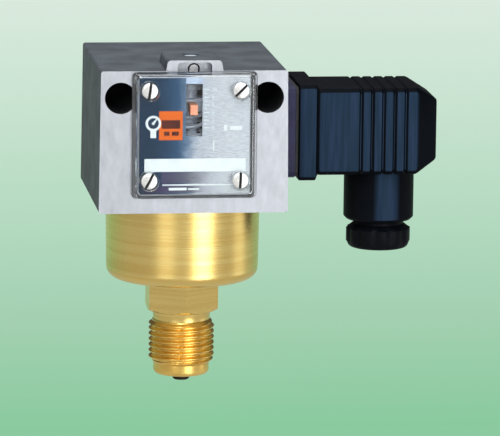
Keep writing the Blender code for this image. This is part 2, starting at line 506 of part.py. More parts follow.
def make_snap_switch(finish):
    low, high = (-SWITCH_HALF, SWITCH_FRONT, SWITCH_BOTTOM), (SWITCH_HALF, SWITCH_REAR, SWITCH_TOP)
    case = solid("snap_switch", box(low, high), finish["black_plastic"])
    drill(case, BUTTON_RADIUS + 0.2, (0, BUTTON_Y, SWITCH_BOTTOM - 1), (0, BUTTON_Y, SWITCH_BOTTOM + 4), 12)
    button = [(LEVER_TOP + GAP, BUTTON_RADIUS - 0.4), (LEVER_TOP + 0.6, BUTTON_RADIUS),
              (SWITCH_BOTTOM + 2, BUTTON_RADIUS)]
    solid("switch_button", stack(button, 12), finish["orange_plastic"], (0, BUTTON_Y, 0))
    for k, y in enumerate(SWITCH_SCREWS_Y):
        drill(case, 1.2, (-9, y, SWITCH_SCREWS_Z), (9, y, SWITCH_SCREWS_Z), 12)
        screw(f"switch_screw_{k + 1}", (1.9, 1.4), (1.0, 11.6), finish["steel"],
              (PLATE_FAR + GAP, y, SWITCH_SCREWS_Z), TO_PLUG)
    tab = [(-2.4, 0), (2.4, 0), (2.4, 5.2), (1.4, 6.2), (-1.4, 6.2), (-2.4, 5.2)]
    for name, y in TERMINALS.items():
        solid(name, prism(tab, -0.4, 0.4), finish["brass"], (0, y, SWITCH_TOP + GAP), TO_PLUG)


def make_wires(finish):
    """Three leads from the snap switch to the blades' tails, and the earth lead to the floor."""
    over = SWITCH_TOP + GAP + 6.2
    near = TAIL_END - 1.1
    ends = {"wire_common": (TERMINALS["terminal_common"], -TAIL_AT, PLUG_Z),
            "wire_closed": (TERMINALS["terminal_closed"], 0.0, PLUG_Z + TAIL_AT),
            "wire_open": (TERMINALS["terminal_open"], TAIL_AT, PLUG_Z)}
    for name, (y, tail_y, tail_z) in ends.items():
        route = [(0, y, over + 1.1), (1.2, y, over + 2.8), (6, y, over + 3.6), (11, (y + tail_y) / 2, over),
                 (13.8, tail_y, tail_z + 3.0), (16, tail_y, tail_z + 0.4), (near, tail_y, tail_z)]
        solid(name, tube(smooth(route, 3), WIRE_RADIUS, 6), finish["wire"])
    route = [(near, 0, PLUG_Z - TAIL_AT), (17, 2, PLUG_Z - TAIL_AT - 0.5), (15.5, 9, 71), (17.5, 17, 69),
             (EARTH_SCREW_X, EARTH_SCREW_Y, 67), (EARTH_SCREW_X, EARTH_SCREW_Y, 64)]
    solid("earth_wire", tube(smooth(route, 3), WIRE_RADIUS, 6), finish["wire"])
    screw("earth_screw", (2.5, 1.5), (1.1, 2.6), finish["brass"], (EARTH_SCREW_X, EARTH_SCREW_Y, FLOOR + GAP))


def blade_turns():
    """The four blades' names with the turn that carries each from +Y about the plug's axis."""
    names = ("blade_open", "blade_closed", "blade_common", "blade_earth")
    return {name: Quaternion((1, 0, 0), math.pi / 2 * k) for k, name in enumerate(names)}


def make_inlet(finish):
    centre, half = (0, 0, PLUG_Z), BLADE_THICKNESS / 2
    outline = rounded_rectangle(INLET_WIDTH, INLET_WIDTH, 2.0)
    opening = rounded_rectangle(21.6, 21.6, 1.0)
    ring_shape = flat_ring(outline, opening, SEAT_X + GAP, INLET_BACK - GAP)
    gasket = solid("inlet_gasket", ring_shape, finish["rubber"], centre, TO_PLUG)
    base = solid("inlet_base", prism(outline, INLET_BACK, INLET_FACE), finish["black_plastic"], centre, TO_PLUG)
    post = stack([(INLET_FACE - 1, POST_RADIUS), (POST_END, POST_RADIUS)], 16)
    combine(base, solid("post", post, finish["black_plastic"], centre, TO_PLUG), "UNION")
    drill(base, JOG_POCKET, (INLET_BACK - 1, 0, PLUG_Z), (JOG_X + 1.1, 0, PLUG_Z), TURNED)
    drill(base, 1.8, (POST_END + 1, 0, PLUG_Z), (INLET_FACE + 1, 0, PLUG_Z), 12)
    blade = [(TAIL_END, TAIL_AT - half), (JOG_X + 0.8, TAIL_AT - half), (JOG_X + 0.8, BLADE_AT - half),
             (BLADE_TIP, BLADE_AT - half), (BLADE_TIP, BLADE_AT + half), (JOG_X, BLADE_AT + half),
             (JOG_X, TAIL_AT + half), (TAIL_END, TAIL_AT + half)]
    reach, side = half + 0.15, BLADE_WIDTH / 2 + 0.15
    for name, turn in blade_turns().items():
        slot = box((JOG_X, BLADE_AT - reach, -side), (INLET_FACE + 1, BLADE_AT + reach, side))
        combine(base, solid("slot", slot, finish["black_plastic"], centre, turn))
        solid(name, prism(blade, -BLADE_WIDTH / 2, BLADE_WIDTH / 2), finish["brass"], centre, turn)
    for k, y in enumerate((-INLET_SCREW_Y, INLET_SCREW_Y)):
        drill(gasket, 1.2, (SEAT_X - 1, y, PLUG_Z), (INLET_BACK + 1, y, PLUG_Z), 12)
        drill(base, 1.25, (INLET_BACK - 1, y, PLUG_Z), (INLET_FACE + 1, y, PLUG_Z), 12)
        drill(base, 1.95, (INLET_FACE - 1.8, y, PLUG_Z), (INLET_FACE + 1, y, PLUG_Z), 12)
        screw(f"inlet_screw_{k + 1}", (1.75, 1.4), (1.0, 5.6), finish["steel"],
              (INLET_FACE - 1.8 + GAP, y, PLUG_Z), TO_PLUG)


def make_plug_shell(finish):
    centre, black = (0, 0, PLUG_Z), finish["black_plastic"]
    rim = rounded_rectangle(RIM_WIDTH, RIM_WIDTH, 1.6)
    body = rounded_rectangle(BODY_WIDTH, BODY_WIDTH, 1.4)
    end = rounded_rectangle(END_WIDTH, END_WIDTH, 1.0)
    rings = [(rim, RIM_X), (rim, RIM_END), (body, BODY_X), (body, BODY_END), (end, PLUG_END)]
    shell = solid("plug_shell", loft([level(outline, x) for outline, x in rings]), black, centre, TO_PLUG)
    neck = stack([(OUTLET_END, OUTLET_RADIUS - 0.6), (OUTLET_END + 0.6, OUTLET_RADIUS), (67.4, OUTLET_RADIUS)])
    combine(shell, solid("neck", neck, black, (OUTLET_X, 0, 0)), "UNION")
    room = PLUG_CAVITY / 2
    carve(shell, (RIM_X - 1, -room, PLUG_Z - room), (PLUG_CAVITY_END, room, PLUG_Z + room))
    drill(shell, OUTLET_BORE, (OUTLET_X, 0, OUTLET_END - 1), (OUTLET_X, 0, OUTLET_LEDGE), TURNED)
    drill(shell, 5.0, (OUTLET_X, 0, OUTLET_LEDGE - 1), (OUTLET_X, 0, PLUG_Z - room + 1))
    drill(shell, 1.6, (PLUG_CAVITY_END - 1, 0, PLUG_Z), (PLUG_END + 1, 0, PLUG_Z), 12)
    drill(shell, 3.3, (PLUG_END - 2.8, 0, PLUG_Z), (PLUG_END + 1, 0, PLUG_Z))


def make_plug(finish):
    make_plug_shell(finish)
    centre = (0, 0, PLUG_Z)
    outer, inner = rounded_rectangle(28.6, 28.6, 1.6), rounded_rectangle(23.8, 23.8, 1.0)
    gasket = flat_ring(outer, inner, INLET_FACE + GAP, RIM_X - GAP)
    solid("plug_gasket", gasket, finish["rubber"], centre, TO_PLUG)
    block = prism(rounded_rectangle(INSERT_WIDTH, INSERT_WIDTH, 0.8), INSERT_BACK, INSERT_FRONT)
    insert = solid("terminal_insert", block, finish["black_plastic"], centre, TO_PLUG)
    drill(insert, POST_RADIUS + 0.4, (INSERT_BACK - 1, 0, PLUG_Z), (POST_END + 0.8, 0, PLUG_Z))
    drill(insert, 1.9, (POST_END, 0, PLUG_Z), (INSERT_FRONT + 1, 0, PLUG_Z), 12)
    reach, side = BLADE_THICKNESS / 2 + 0.25, BLADE_WIDTH / 2 + 0.25
    for turn in blade_turns().values():
        slot = box((INSERT_BACK - 1, BLADE_AT - reach, -side), (BLADE_TIP + 1.5, BLADE_AT + reach, side))
        combine(insert, solid("slot", slot, finish["black_plastic"], centre, turn))
    screw("plug_screw", (2.9, 1.9), (1.4, 38.6), finish["steel"], (PLUG_END - 2.8 + GAP, 0, PLUG_Z), TO_PLUG)


def make_gland(finish):
    at = (OUTLET_X, 0, 0)
    seal = [(OUTLET_LEDGE - GAP - 6, NUT_SHANK_RADIUS), (OUTLET_LEDGE - GAP, NUT_SHANK_RADIUS)]
    solid("cable_seal", stack(seal, bore=3.5), finish["rubber"], at)
    washer = [(NUT_SHANK_TOP + GAP, NUT_SHANK_RADIUS), (seal[0][0] - GAP, NUT_SHANK_RADIUS)]
    solid("gland_washer", stack(washer, bore=4.6), finish["steel"], at)
    ribs = fluted(NUT_HEAD_RADIUS, 0.5, NUT_FLUTES)
    nut = [(NUT_HEAD_BOTTOM, NUT_HEAD_RADIUS - 1.5), (NUT_HEAD_BOTTOM + 0.6, NUT_HEAD_RADIUS - 0.7),
           (NUT_HEAD_BOTTOM + 1.6, ribs), (NUT_HEAD_TOP - 0.5, ribs), (NUT_HEAD_TOP, NUT_HEAD_RADIUS - 0.8),
           (NUT_HEAD_TOP, NUT_SHANK_RADIUS), (NUT_SHANK_TOP, NUT_SHANK_RADIUS)]
    solid("gland_nut", stack(nut, bore=NUT_BORE), finish["black_plastic"], at)


def main():
    for obj in list(bpy.data.objects):
        bpy.data.objects.remove(obj)
    finish = make_materials()
    make_connection(finish)
    make_cup(finish)
    make_bellows(finish)
    make_flange(finish)
    make_housing(finish)
    make_window(finish)
    make_setting_drive(finish)
    make_lock(finish)
    make_rocker(finish)
    make_bracket(finish)
    make_snap_switch(finish)
    make_wires(finish)
    make_inlet(finish)
    make_plug(finish)
    make_gland(finish)


main()
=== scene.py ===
"""Looks of the bellows pressure switch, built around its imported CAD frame.

Numbers are millimetres until solid() scales them to the frame's metres. Places come from the frame's own
boxes, and each piece's mesh already stands where the CAD node that it replaces stands.
"""

import json
import math

import bmesh
import bpy
from mathutils import Matrix, Quaternion, Vector

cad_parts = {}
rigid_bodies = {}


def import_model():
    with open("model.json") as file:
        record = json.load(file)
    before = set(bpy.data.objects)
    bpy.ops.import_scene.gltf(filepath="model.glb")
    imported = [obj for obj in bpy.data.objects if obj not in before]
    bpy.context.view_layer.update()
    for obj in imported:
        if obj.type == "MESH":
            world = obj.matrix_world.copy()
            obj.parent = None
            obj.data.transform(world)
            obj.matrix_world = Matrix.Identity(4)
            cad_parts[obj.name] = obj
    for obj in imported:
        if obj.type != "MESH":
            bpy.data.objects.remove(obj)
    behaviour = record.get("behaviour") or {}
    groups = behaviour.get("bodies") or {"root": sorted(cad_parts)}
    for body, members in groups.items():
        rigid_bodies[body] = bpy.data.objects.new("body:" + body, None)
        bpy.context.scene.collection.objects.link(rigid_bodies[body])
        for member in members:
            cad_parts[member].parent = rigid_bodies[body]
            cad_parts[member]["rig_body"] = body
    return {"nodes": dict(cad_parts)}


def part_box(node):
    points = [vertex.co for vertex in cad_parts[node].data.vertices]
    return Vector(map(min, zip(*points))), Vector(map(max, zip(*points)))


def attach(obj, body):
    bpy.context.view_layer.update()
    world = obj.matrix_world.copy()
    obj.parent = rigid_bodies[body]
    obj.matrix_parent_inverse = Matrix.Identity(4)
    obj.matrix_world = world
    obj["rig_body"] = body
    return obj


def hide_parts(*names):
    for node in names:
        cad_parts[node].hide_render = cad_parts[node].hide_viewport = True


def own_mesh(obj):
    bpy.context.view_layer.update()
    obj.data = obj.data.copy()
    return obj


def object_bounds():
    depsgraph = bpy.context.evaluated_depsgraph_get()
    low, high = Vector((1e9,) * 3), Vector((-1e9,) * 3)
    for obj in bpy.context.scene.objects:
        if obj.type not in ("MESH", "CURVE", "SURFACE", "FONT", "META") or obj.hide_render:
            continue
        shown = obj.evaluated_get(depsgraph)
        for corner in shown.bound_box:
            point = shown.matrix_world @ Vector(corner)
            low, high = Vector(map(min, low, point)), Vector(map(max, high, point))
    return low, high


MM = 0.001

for start_up in list(bpy.data.objects):
    bpy.data.objects.remove(start_up)
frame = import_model()
cad_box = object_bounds()


def span(node):
    """Lowest and highest corner of a CAD node, in millimetres."""
    low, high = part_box(node)
    return low / MM, high / MM


# Places taken from the frame.
CUP_LOW, CUP_HIGH = span("sensor_cup")
HOUSING_LOW, HOUSING_HIGH = span("housing")
COVER_LOW, COVER_HIGH = span("window_cover")
PLATE_LOW, PLATE_HIGH = span("scale_plate")
PIPE_LOW, PIPE_HIGH = span("process_connection")
SHELL_LOW, SHELL_HIGH = span("plug_shell")
NUT_LOW, NUT_HIGH = span("gland_nut")
FRONT, REAR = HOUSING_LOW.y, HOUSING_HIGH.y
WINDOW_Z = (COVER_LOW.z + COVER_HIGH.z) / 2
PLUG_Z = sum(point.z for point in span("inlet_base")) / 2
OUTLET_X = (NUT_LOW.x + NUT_HIGH.x) / 2
SPINDLE_Y = sum(point.y for point in span("setting_spindle")) / 2

# Pressure connection.
PORT_RADIUS, SPIGOT_RADIUS, PILOT_RADIUS, PILOT_TOP = 1.5, 2.7, 8.9, 4.0
THREAD_RADIUS, THREAD_ROOT, THREAD_PITCH, THREAD_TOP = 10.48, 9.32, 1.814, 17.6
RELIEF_RADIUS, HEX_BOTTOM, HEX_TOP, HEX_ACROSS_FLATS, COLLAR_RADIUS = 9.1, 20.6, 31.3, 22.0, 7.0

# Sensor cup.
CUP_RADIUS, CUP_FOOT_RADIUS, CUP_CORNER, CUP_WALL = CUP_HIGH.x, CUP_HIGH.x - 0.35, 3.6, 1.2

# Housing.
TOP, HALF_WIDTH_TOP, HALF_WIDTH_BOTTOM, REAR_DRAFT, EDGE = 102.2, 29.3, 29.8, 0.2, 0.8
FLOOR, CEILING, SHOULDER = 61.2, 98.2, 86.5
CAVITY_HALF, CAVITY_HALF_TOP, CAVITY_FRONT, CAVITY_REAR = 26.0, 16.3, -25.0, 27.5
LUG_HALF, LUG_REAR, LUG_CORNER = 8.6, -11.0, 1.2
POCKET_WIDTH, POCKET_BOTTOM, POCKET_TOP, POCKET_FLOOR = 10.8, 100.3, 104.8, -28.2
WALL_HOLE_X, WALL_HOLE_Z, WALL_HOLE_RADIUS, WALL_BORE_RADIUS, WALL_SEAT = 23.15, 93.7, 4.95, 3.2, 24.0

# Window.
COVER_SCREW_X, COVER_SCREW_Z, COVER_SEAT, COVER_INSIDE = 14.3, 14.2, -33.0, -33.9
COVER_FACE, COVER_HOLLOW, SCREW_POST_RADIUS = (37.2, 39.0), (36.2, 36.8), 3.1
COVER_EDGE, SCREW_SLOT_HALF, SCREW_SLOT_DEPTH = 0.45, 0.42, 0.95
SLOT_ANGLES = (-8, -45, -28, -3)
SLOT_LEFT, SLOT_RIGHT, SLOT_BOTTOM = -2.8, 2.4, 81.7
INK = 0.04  # thickness of a layer of printing

# Setpoint drive.
SPINDLE_RADIUS, SPINDLE_COLLAR, COLLAR_BOTTOM, SEAL_BOTTOM = 2.4, 3.8, 94.8, 96.9
SPRING_RADIUS, SPRING_WIRE, SPRING_TURNS = 4.0, 0.6, 6
LOCK_Z, LOCK_RADIUS = 102.4, 1.5

# Plug.
RIM_END, BODY_X, BODY_END = 40.7, 41.7, 73.2
RIM_WIDTH, BODY_WIDTH, END_WIDTH, PLUG_CAVITY, PLUG_CAVITY_END = 30.8, 27.9, 19.6, 23.2, 68.0
GRIP_START, GRIP_PITCH, GRIP_COUNT, GRIP_HALF, GRIP_DEPTH = 55.2, 3.6, 5, 0.8, 0.38
OUTLET_RADIUS, OUTLET_BORE, OUTLET_END, OUTLET_LEDGE = 11.2, 8.4, SHELL_LOW.z, 65.2
OUTLET_THROAT, NECK_TOP, PLUG_SCREW_HOLE, PLUG_SCREW_RECESS, RECESS_DEPTH = 5.0, 67.4, 1.6, 3.3, 2.8
NUT_BORE, NUT_SHANK_RADIUS, NUT_HEAD_TOP, NUT_FLUTES = 6.2, 8.1, 47.7, 12

# Light and dark tone of the black mouldings.
BLACK_TONES = ((0.0030, 0.0042, 0.0065), (0.0018, 0.0026, 0.0042))

# Colours that the glowing floor sheet gives off, from the middle of the object to FLOOR_REACH metres behind
# it.
FLOOR_REACH = 6.0
FLOOR_STOPS = [(0.0, (0.56, 0.55, 0.52)), (0.30, (0.42, 0.52, 0.44)), (0.433, (0.246, 0.578, 0.337)),
               (0.512, (0.36, 0.62, 0.43)), (0.608, (0.456, 0.694, 0.527)), (0.733, (0.58, 0.76, 0.63)),
               (0.897, (0.694, 0.815, 0.723))]

# Camera, in degrees and millimetres.
VIEW_AZIMUTH, VIEW_ELEVATION, VIEW_ROLL, VIEW_DISTANCE, VIEW_LENS = -7.24, 10.13, 0.68, 1608, 362
VIEW_TARGET = Vector((21.78, 0, 49.89))

UP = Quaternion()
TO_FRONT = Quaternion((1, 0, 0), math.pi / 2)
TO_PLUG = Quaternion((1, 1, 1), 2 * math.pi / 3)


# ---------------------------------------------------------------- mesh helpers


def shade(mesh, angle=35):
    mesh.shade_smooth()
    mesh.set_sharp_from_angle(angle=math.radians(angle))
    return mesh


def solid(name, bm, look, at=(0, 0, 0), facing=UP):
    """The piece held in bm, moved to its place and scaled to metres."""
    bmesh.ops.recalc_face_normals(bm, faces=bm.faces)
    bm.transform(Matrix.Scale(MM, 4) @ Matrix.Translation(at) @ facing.to_matrix().to_4x4())
    mesh = bpy.data.meshes.new(name)
    bm.to_mesh(mesh)
    bm.free()
    mesh.materials.append(look)
    obj = bpy.data.objects.new(name, shade(mesh))
    bpy.context.scene.collection.objects.link(obj)
    return obj


def combine(obj, tool, operation="DIFFERENCE"):
    """Cuts the tool from obj, or joins it on, and removes the tool."""
    modifier = obj.modifiers.new("combine", "BOOLEAN")
    modifier.operation = operation
    modifier.object = tool
    bpy.context.view_layer.update()
    graph = bpy.context.evaluated_depsgraph_get()
    mesh = bpy.data.meshes.new_from_object(obj.evaluated_get(graph))
    obj.modifiers.clear()
    obj.data = shade(mesh)
    bpy.data.objects.remove(tool)
    return obj


def soften(obj, width, segments=2, angle=30):
    """Breaks the sharp edges, so that they catch the light."""
    modifier = obj.modifiers.new("edges", "BEVEL")
    modifier.width = width * MM
    modifier.segments = segments
    modifier.limit_method = "ANGLE"
    modifier.angle_limit = math.radians(angle)
    modifier.harden_normals = True
    return obj


def level(outline, z):
    return [(x, y, z) for x, y in outline]


def ring(radius, z, sides):
    """Points round a level circle, whose radius may be a function of the angle and the height."""
    points = []
    for k in range(sides):
        angle = 2 * math.pi * k / sides
        r = radius(angle, z) if callable(radius) else radius
        points.append((r * math.cos(angle), r * math.sin(angle), z))
    return points


def loft(rings, closed=False):
    """Joins each ring of points to the next, then caps both ends or joins the last to the first."""
    bm = bmesh.new()
    loops = [[bm.verts.new(point) for point in points] for points in rings]
    for lower, upper in zip(loops, loops[1:] + loops[:1] if closed else loops[1:]):
        for k in range(len(lower)):
            n = (k + 1) % len(lower)
            bm.faces.new((lower[k], lower[n], upper[n], upper[k]))
    if not closed:
        bm.faces.new(loops[0])
        bm.faces.new(loops[-1])
    return bm


def stack(profile, sides=64, bore=None):
    """A turned piece from (height, radius) steps, solid or around a bore."""
    rings = [ring(radius, z, sides) for z, radius in profile]
    if bore is None:
        return loft(rings)
    return loft(rings + [ring(bore, profile[-1][0], sides), ring(bore, profile[0][0], sides)], closed=True)


def box(low, high):
    bm = bmesh.new()
    centre = (Vector(low) + Vector(high)) / 2
    size = Vector(high) - Vector(low)
    bmesh.ops.create_cube(bm, size=1.0, matrix=Matrix.Translation(centre) @ Matrix.Diagonal((*size, 1)))
    return bm


def prism(outline, low, high):
    return loft([level(outline, low), level(outline, high)])


def tube(points, radius, sides):
    """A round bar whose middle follows the points."""
    path = [Vector(point) for point in points]
    last = len(path) - 1
    tangents = [(path[min(k + 1, last)] - path[max(k - 1, 0)]).normalized() for k in range(last + 1)]
    across = tangents[0].orthogonal().normalized()
    rings = []
    for k, (point, along) in enumerate(zip(path, tangents)):
        across = tangents[max(k - 1, 0)].rotation_difference(along) @ across
        other = along.cross(across)
        turn = [2 * math.pi * n / sides for n in range(sides)]
        rings.append([point + radius * (math.cos(a) * across + math.sin(a) * other) for a in turn])
    return loft(rings)


def arc(centre, radius, start, end, steps):
    """Points on an arc, angles in degrees."""
    turn = [math.radians(start + (end - start) * k / steps) for k in range(steps + 1)]
    return [(centre[0] + radius * math.cos(a), centre[1] + radius * math.sin(a)) for a in turn]


def rounded_rectangle(width, height, corner):
    x, y = width / 2 - corner, height / 2 - corner
    outline = []
    for k, centre in enumerate([(x, y), (-x, y), (-x, -y), (x, -y)]):
        outline += arc(centre, corner, 90 * k, 90 * k + 90, 8)
    return outline


def corners(x, y):
    return [(-x, y), (x, y), (-x, -y), (x, -y)]


def drill(obj, radius, start, end, sides=64):
    along = Vector(end) - Vector(start)
    hole = stack([(0, radius), (along.length, radius)], sides)
    return combine(obj, solid("drill", hole, obj.data.materials[0], start, along.to_track_quat("Z", "Y")))


def carve(obj, low, high):
    return combine(obj, solid("carve", box(low, high), obj.data.materials[0]))


def stand_in(obj, slot, *nodes):
    """obj replaces these CAD nodes and rides on the body that carries the first of them."""
    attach(obj, frame["nodes"][nodes[0]]["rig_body"])
    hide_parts(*nodes)
    return obj


# ---------------------------------------------------------------- materials


def start_material(name):
    """A new material, its node tree and its Principled shader."""
    made = bpy.data.materials.new(name)
    made.use_nodes = True
    return made, made.node_tree, made.node_tree.nodes["Principled BSDF"]


def add_node(tree, kind, **settings):
    made = tree.nodes.new(kind)
    for key, value in settings.items():
        setattr(made, key, value)
    return made


def add_noise(tree, scale):
    """Noise in the piece's own millimetres, scaled by so many waves a millimetre along X, Y and Z."""
    place = add_node(tree, "ShaderNodeTexCoord")
    stretch = add_node(tree, "ShaderNodeMapping")
    stretch.inputs["Scale"].default_value = [s / MM for s in scale]
    noise = add_node(tree, "ShaderNodeTexNoise")
    noise.inputs["Scale"].default_value = 1.0
    noise.inputs["Detail"].default_value = 3.0
    tree.links.new(place.outputs["Object"], stretch.inputs["Vector"])
    tree.links.new(stretch.outputs["Vector"], noise.inputs["Vector"])
    return noise.outputs["Fac"]


def add_ramp(tree, value, stops):
    """A colour ramp on a value, from (position, colour) stops."""
    ramp = add_node(tree, "ShaderNodeValToRGB")
    elements = ramp.color_ramp.elements
    while len(elements) < len(stops):
        elements.new(0.5)
    for element, (position, colour) in zip(elements, stops):
        element.position = position
        element.color = (*colour, 1.0)
    tree.links.new(value, ramp.inputs["Fac"])
    return ramp.outputs["Color"]


def add_range(tree, value, source, target):
    change = add_node(tree, "ShaderNodeMapRange")
    for key, number in zip(("From Min", "From Max", "To Min", "To Max"), (*source, *target)):
        change.inputs[key].default_value = number
    tree.links.new(value, change.inputs["Value"])
    return change.outputs["Result"]


def add_bump(tree, shader, value, strength, depth):
    bump = add_node(tree, "ShaderNodeBump")
    bump.inputs["Strength"].default_value = strength
    bump.inputs["Distance"].default_value = depth * MM
    tree.links.new(value, bump.inputs["Height"])
    tree.links.new(bump.outputs["Normal"], shader.inputs["Normal"])


def surface(name, light, dark, roughness, metallic=0.0, tone=(0.3, 0.3, 0.3), grain=(3, 3, 3), bump=0.1,
            depth=0.05, spread=(0.35, 0.65), **sockets):
    """A material whose colour drifts between two tones, with a grain in its gloss and its relief."""
    made, tree, shader = start_material(name)
    colour = add_ramp(tree, add_noise(tree, tone), [(spread[0], dark), (spread[1], light)])
    tree.links.new(colour, shader.inputs["Base Color"])
    fine = add_noise(tree, grain)
    tree.links.new(add_range(tree, fine, (0.3, 0.7), roughness), shader.inputs["Roughness"])
    shader.inputs["Metallic"].default_value = metallic
    for socket, number in sockets.items():
        shader.inputs[socket.replace("_", " ")].default_value = number
    add_bump(tree, shader, fine, bump, depth)
    return made


def clear_acrylic():
    """Clear moulded acrylic that lets lamp light through to the plate."""
    made, tree, shader = start_material("clear_acrylic")
    shader.inputs["Base Color"].default_value = (0.93, 0.96, 0.97, 1.0)
    shader.inputs["Transmission Weight"].default_value = 1.0
    shader.inputs["IOR"].default_value = 1.38
    haze = add_range(tree, add_noise(tree, (0.4, 0.4, 0.4)), (0.3, 0.7), (0.0, 0.035))
    tree.links.new(haze, shader.inputs["Roughness"])
    path = add_node(tree, "ShaderNodeLightPath")
    through = add_node(tree, "ShaderNodeBsdfTransparent")
    mix = add_node(tree, "ShaderNodeMixShader")
    tree.links.new(path.outputs["Is Shadow Ray"], mix.inputs["Fac"])
    tree.links.new(shader.outputs["BSDF"], mix.inputs[1])
    tree.links.new(through.outputs["BSDF"], mix.inputs[2])
    tree.links.new(mix.outputs["Shader"], tree.nodes["Material Output"].inputs["Surface"])
    return made


def left_to_right_colour(name, stops, roughness, metallic):
    """Colour that runs across the window from left to right, following the given stops."""
    made, tree, shader = start_material(name)
    place = add_node(tree, "ShaderNodeTexCoord")
    split = add_node(tree, "ShaderNodeSeparateXYZ")
    tree.links.new(place.outputs["Object"], split.inputs["Vector"])
    across = add_range(tree, split.outputs["X"], (PLATE_LOW.x * MM, PLATE_HIGH.x * MM), (0.0, 1.0))
    drift = add_range(tree, add_noise(tree, (0.25, 0.25, 0.25)), (0.3, 0.7), (-0.03, 0.03))
    total = add_node(tree, "ShaderNodeMath", operation="ADD")
    tree.links.new(across, total.inputs[0])
    tree.links.new(drift, total.inputs[1])
    tree.links.new(add_ramp(tree, total.outputs["Value"], stops), shader.inputs["Base Color"])
    brushed = add_noise(tree, (0.5, 0.5, 12))
    tree.links.new(add_range(tree, brushed, (0.3, 0.7), roughness), shader.inputs["Roughness"])
    shader.inputs["Metallic"].default_value = metallic
    shader.inputs["Specular IOR Level"].default_value = 0.12
    add_bump(tree, shader, brushed, 0.05, 0.02)
    return made


def painted_sheen_plastic():
    """Satin black moulding whose flat faces towards the front carry a painted blue sheen, a painted highlight
    that stands in for the front light's reflection.
    """
    made, tree, shader = start_material("black_plastic")
    place = add_node(tree, "ShaderNodeTexCoord")
    # Faces turned towards the front get the painted blue sheen; it does not come from the lamps.
    facing = add_node(tree, "ShaderNodeVectorMath", operation="DOT_PRODUCT")
    facing.inputs[1].default_value = direction(6, 0)
    tree.links.new(place.outputs["Normal"], facing.inputs[0])
    share = add_ramp(tree, facing.outputs["Value"], [(0.92, (0, 0, 0)), (0.985, (1, 1, 1))])
    light, dark = BLACK_TONES
    body = add_ramp(tree, add_noise(tree, (0.07, 0.07, 0.07)), [(0.35, dark), (0.65, light)])
    streaks = add_noise(tree, (0.9, 0.2, 0.05))
    sheen = add_ramp(tree, streaks, [(0.35, (0.011, 0.026, 0.046)), (0.65, (0.018, 0.035, 0.070))])
    mix = add_node(tree, "ShaderNodeMix", data_type="RGBA")
    tree.links.new(share, mix.inputs["Factor"])
    tree.links.new(body, mix.inputs["A"])
    tree.links.new(sheen, mix.inputs["B"])
    colour = next(output for output in mix.outputs if output.type == "RGBA")
    tree.links.new(colour, shader.inputs["Base Color"])
    fine = add_noise(tree, (3.5, 3.5, 3.5))
    tree.links.new(add_range(tree, fine, (0.3, 0.7), (0.40, 0.54)), shader.inputs["Roughness"])
    shader.inputs["Specular IOR Level"].default_value = 0.03
    add_bump(tree, shader, fine, 0.14, 0.03)
    return made


